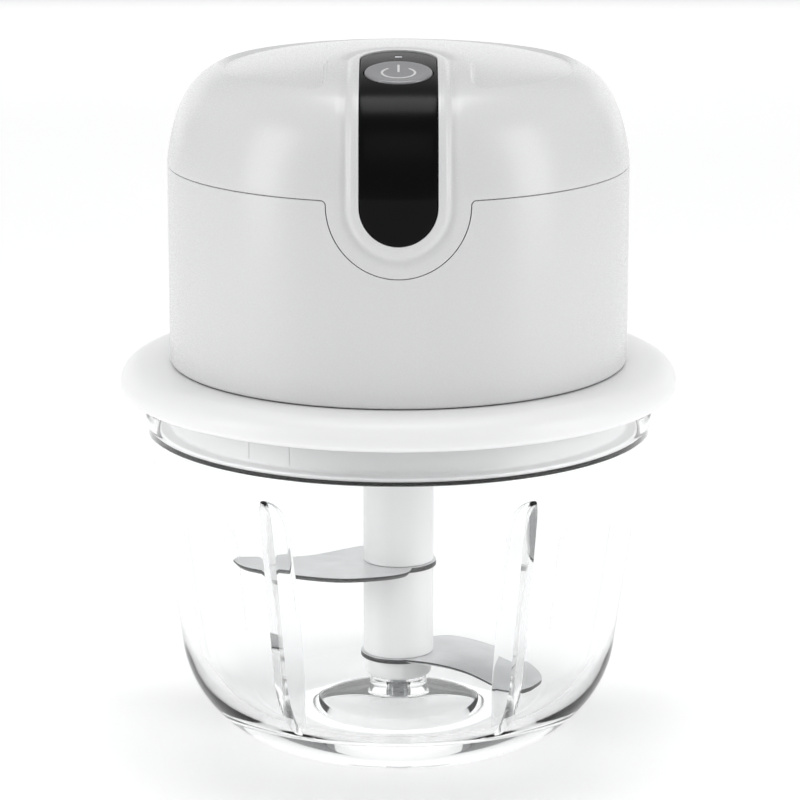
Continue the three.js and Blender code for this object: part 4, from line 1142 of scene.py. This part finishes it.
def build_flap():
    """A soft flap whose face follows the housing and thins out towards its hinge."""
    columns, rows = 24, 20
    inner = POCKET_FLOOR + 0.1
    middle, half_z = (FLAP_LOW + FLAP_HIGH) / 2, (FLAP_HIGH - FLAP_LOW) / 2

    def crowded(count):
        """Shares from -1 to 1 that lie closer together at the ends."""
        return [math.sin(math.pi / 2 * (2 * i / count - 1)) for i in range(count + 1)]

    outline_x = [FLAP_X * share for share in crowded(columns)]
    heights = [middle + half_z * share for share in crowded(rows)]

    def squeezed(x, z):
        """Pulls the grid's corners in to round them."""
        over_x = max(abs(x) - (FLAP_X - FLAP_CORNER), 0)
        over_z = max(abs(z - middle) - (half_z - FLAP_CORNER), 0)
        reach = math.hypot(over_x, over_z)
        square = max(over_x, over_z)
        share = square / reach if reach > TINY else 1
        new_x = math.copysign(abs(x) - over_x + over_x * share, x)
        new_z = middle + math.copysign(abs(z - middle) - over_z + over_z * share, z - middle)
        return new_x, new_z

    def face_y(x, z):
        follow = math.sqrt((UNIT_R - 0.12) ** 2 - x * x)
        lift = smoothstep(70, 71.4, z)
        edge = min(FLAP_X - abs(x), FLAP_HIGH - z, z - FLAP_LOW)
        rounding = 0.3 * (1 - smoothstep(0, 0.5, edge)) * lift
        return FLAP_HINGE_Y + (follow - FLAP_HINGE_Y) * lift - rounding

    verts, faces = [], []
    for outer in (True, False):
        for z in heights:
            for x in outline_x:
                px, pz = squeezed(x, z)
                verts.append((px, face_y(x, z) if outer else inner, pz))
    width = columns + 1
    back = width * (rows + 1)
    for k in range(rows):
        for i in range(columns):
            a = k * width + i
            faces.append([a, a + 1, a + 1 + width, a + width])
            faces.append([back + a, back + a + width, back + a + 1 + width, back + a + 1])
    border = list(range(width))
    border += [k * width + columns for k in range(1, rows + 1)]
    border += [rows * width + i for i in range(columns - 1, -1, -1)]
    border += [k * width for k in range(rows - 1, 0, -1)]
    bridge(faces, border, [back + i for i in border])
    flap = object_of(mesh_of(verts, faces))
    low, high = PORT_Z - PORT_HOLE_Z + 0.5, PORT_Z + PORT_HOLE_Z - 1
    plug = slab(box_outline(PORT_HOLE_X - 0.6, low, high, 0.5), inner - 0.7, inner + 0.2, "xz")
    grip = rounded([(-2.2, 78.1, 0.4), (2.2, 78.1, 0.4), (2.2, 80, 0.1), (-2.2, 80, 0.1)])
    join(flap, plug)
    cut(flap, slab(grip, 36.35, 38, "xz"))
    settled(flap, "port_cover", "flap_body", "flap_silicone", ["port_flap"], sharp=40)


def build_socket():
    low, high = PORT_Z - PORT_HALF_Z, PORT_Z + PORT_HALF_Z
    shell = slab(box_outline(PORT_HALF_X, low, high, 1.5), 27.9, 34.4, "xz")
    wall = 0.35
    mouth = box_outline(PORT_HALF_X - wall, low + wall, high - wall, 1.2)
    cut(shell, slab(mouth, 29.3, 36, "xz"))
    tab = slab(box_outline(3.2, PORT_Z - 0.35, PORT_Z + 0.35, 0.15), 28.9, 33.4, "xz")
    join(shell, tab)
    settled(shell, "socket_shell", "motor_unit", "steel", ["charging_socket"])


# ---- CAD nodes that stay ----


def finish_inner_nodes():
    """Gives every CAD node that still shows a procedural finish of its record slot."""
    for part in frame["record"]["subparts"]:
        node = frame["nodes"][part["node"]]
        if node.hide_render:
            continue
        place = node.material_slots[0]
        place.link = "OBJECT"
        place.material = materials[part["material_slot"]]


# ---- Stage, light and camera ----


def build_stage():
    made = Finish("floor", colour(0.97), 0.6, Emission_Strength=0.26, Emission_Color=colour(1))
    made.tint(made.span(made.noise(160, 2), 0, 1), colour(0.955), 0.6)
    made.rough(made.span(made.noise(3, 3), 0.5, 0.7))
    size = 4000
    corners = [(-size, -size, 0), (size, -size, 0), (size, size, 0), (-size, size, 0)]
    floor = object_of(mesh_of(corners, [[0, 1, 2, 3]]), "floor")
    floor.data.materials.append(made.material)


def area_light(name, place, size, power):
    """A soft box aimed at the object's middle, in metres and watts."""
    light = bpy.data.lights.new(name, "AREA")
    light.shape = "RECTANGLE"
    light.size, light.size_y = size
    light.energy = power
    lamp = bpy.data.objects.new(name, light)
    lamp.location = place
    aim = Vector((0, 0, 0.06)) - Vector(place)
    lamp.rotation_euler = aim.to_track_quat("-Z", "Y").to_euler()
    bpy.context.scene.collection.objects.link(lamp)


def build_light():
    area_light("left_box", (-0.75, -0.3, 0.3), (0.3, 0.6), 2.4)
    area_light("right_box", (0.75, -0.3, 0.3), (0.3, 0.6), 2.4)
    area_light("front_box", (0, -1.0, 0.75), (0.8, 0.4), 0.5)
    area_light("top_box", (0, 0.05, 0.85), (0.5, 0.5), 3.0)
    area_light("back_box", (0, 0.9, 0.22), (1.6, 0.4), 1.7)
    world = bpy.data.worlds.new("studio")
    world.use_nodes = True
    background = world.node_tree.nodes["Background"].inputs
    background["Color"].default_value = (0.86, 0.87, 0.88, 1)
    background["Strength"].default_value = 0.34
    bpy.context.scene.world = world


def build_camera():
    camera = bpy.data.cameras.new("camera")
    camera.sensor_width = 36
    camera.lens = 170.7
    camera.shift_x = 0.0019
    eye = bpy.data.objects.new("camera", camera)
    eye.location = (0, -0.6, 0.2006)
    eye.rotation_euler = (math.radians(90 - CAMERA_DOWN), 0, 0)
    bpy.context.scene.collection.objects.link(eye)
    bpy.context.scene.camera = eye
    bpy.context.scene.view_settings.view_transform = "Standard"


build_bowl()
build_hub()
build_blades()
build_cover()
build_seal()
build_cap()
build_housing()
build_panel()
build_led()
build_button()
build_symbol()
build_base()
build_drive()
build_flap()
build_socket()
finish_inner_nodes()
build_stage()
build_light()
build_camera()
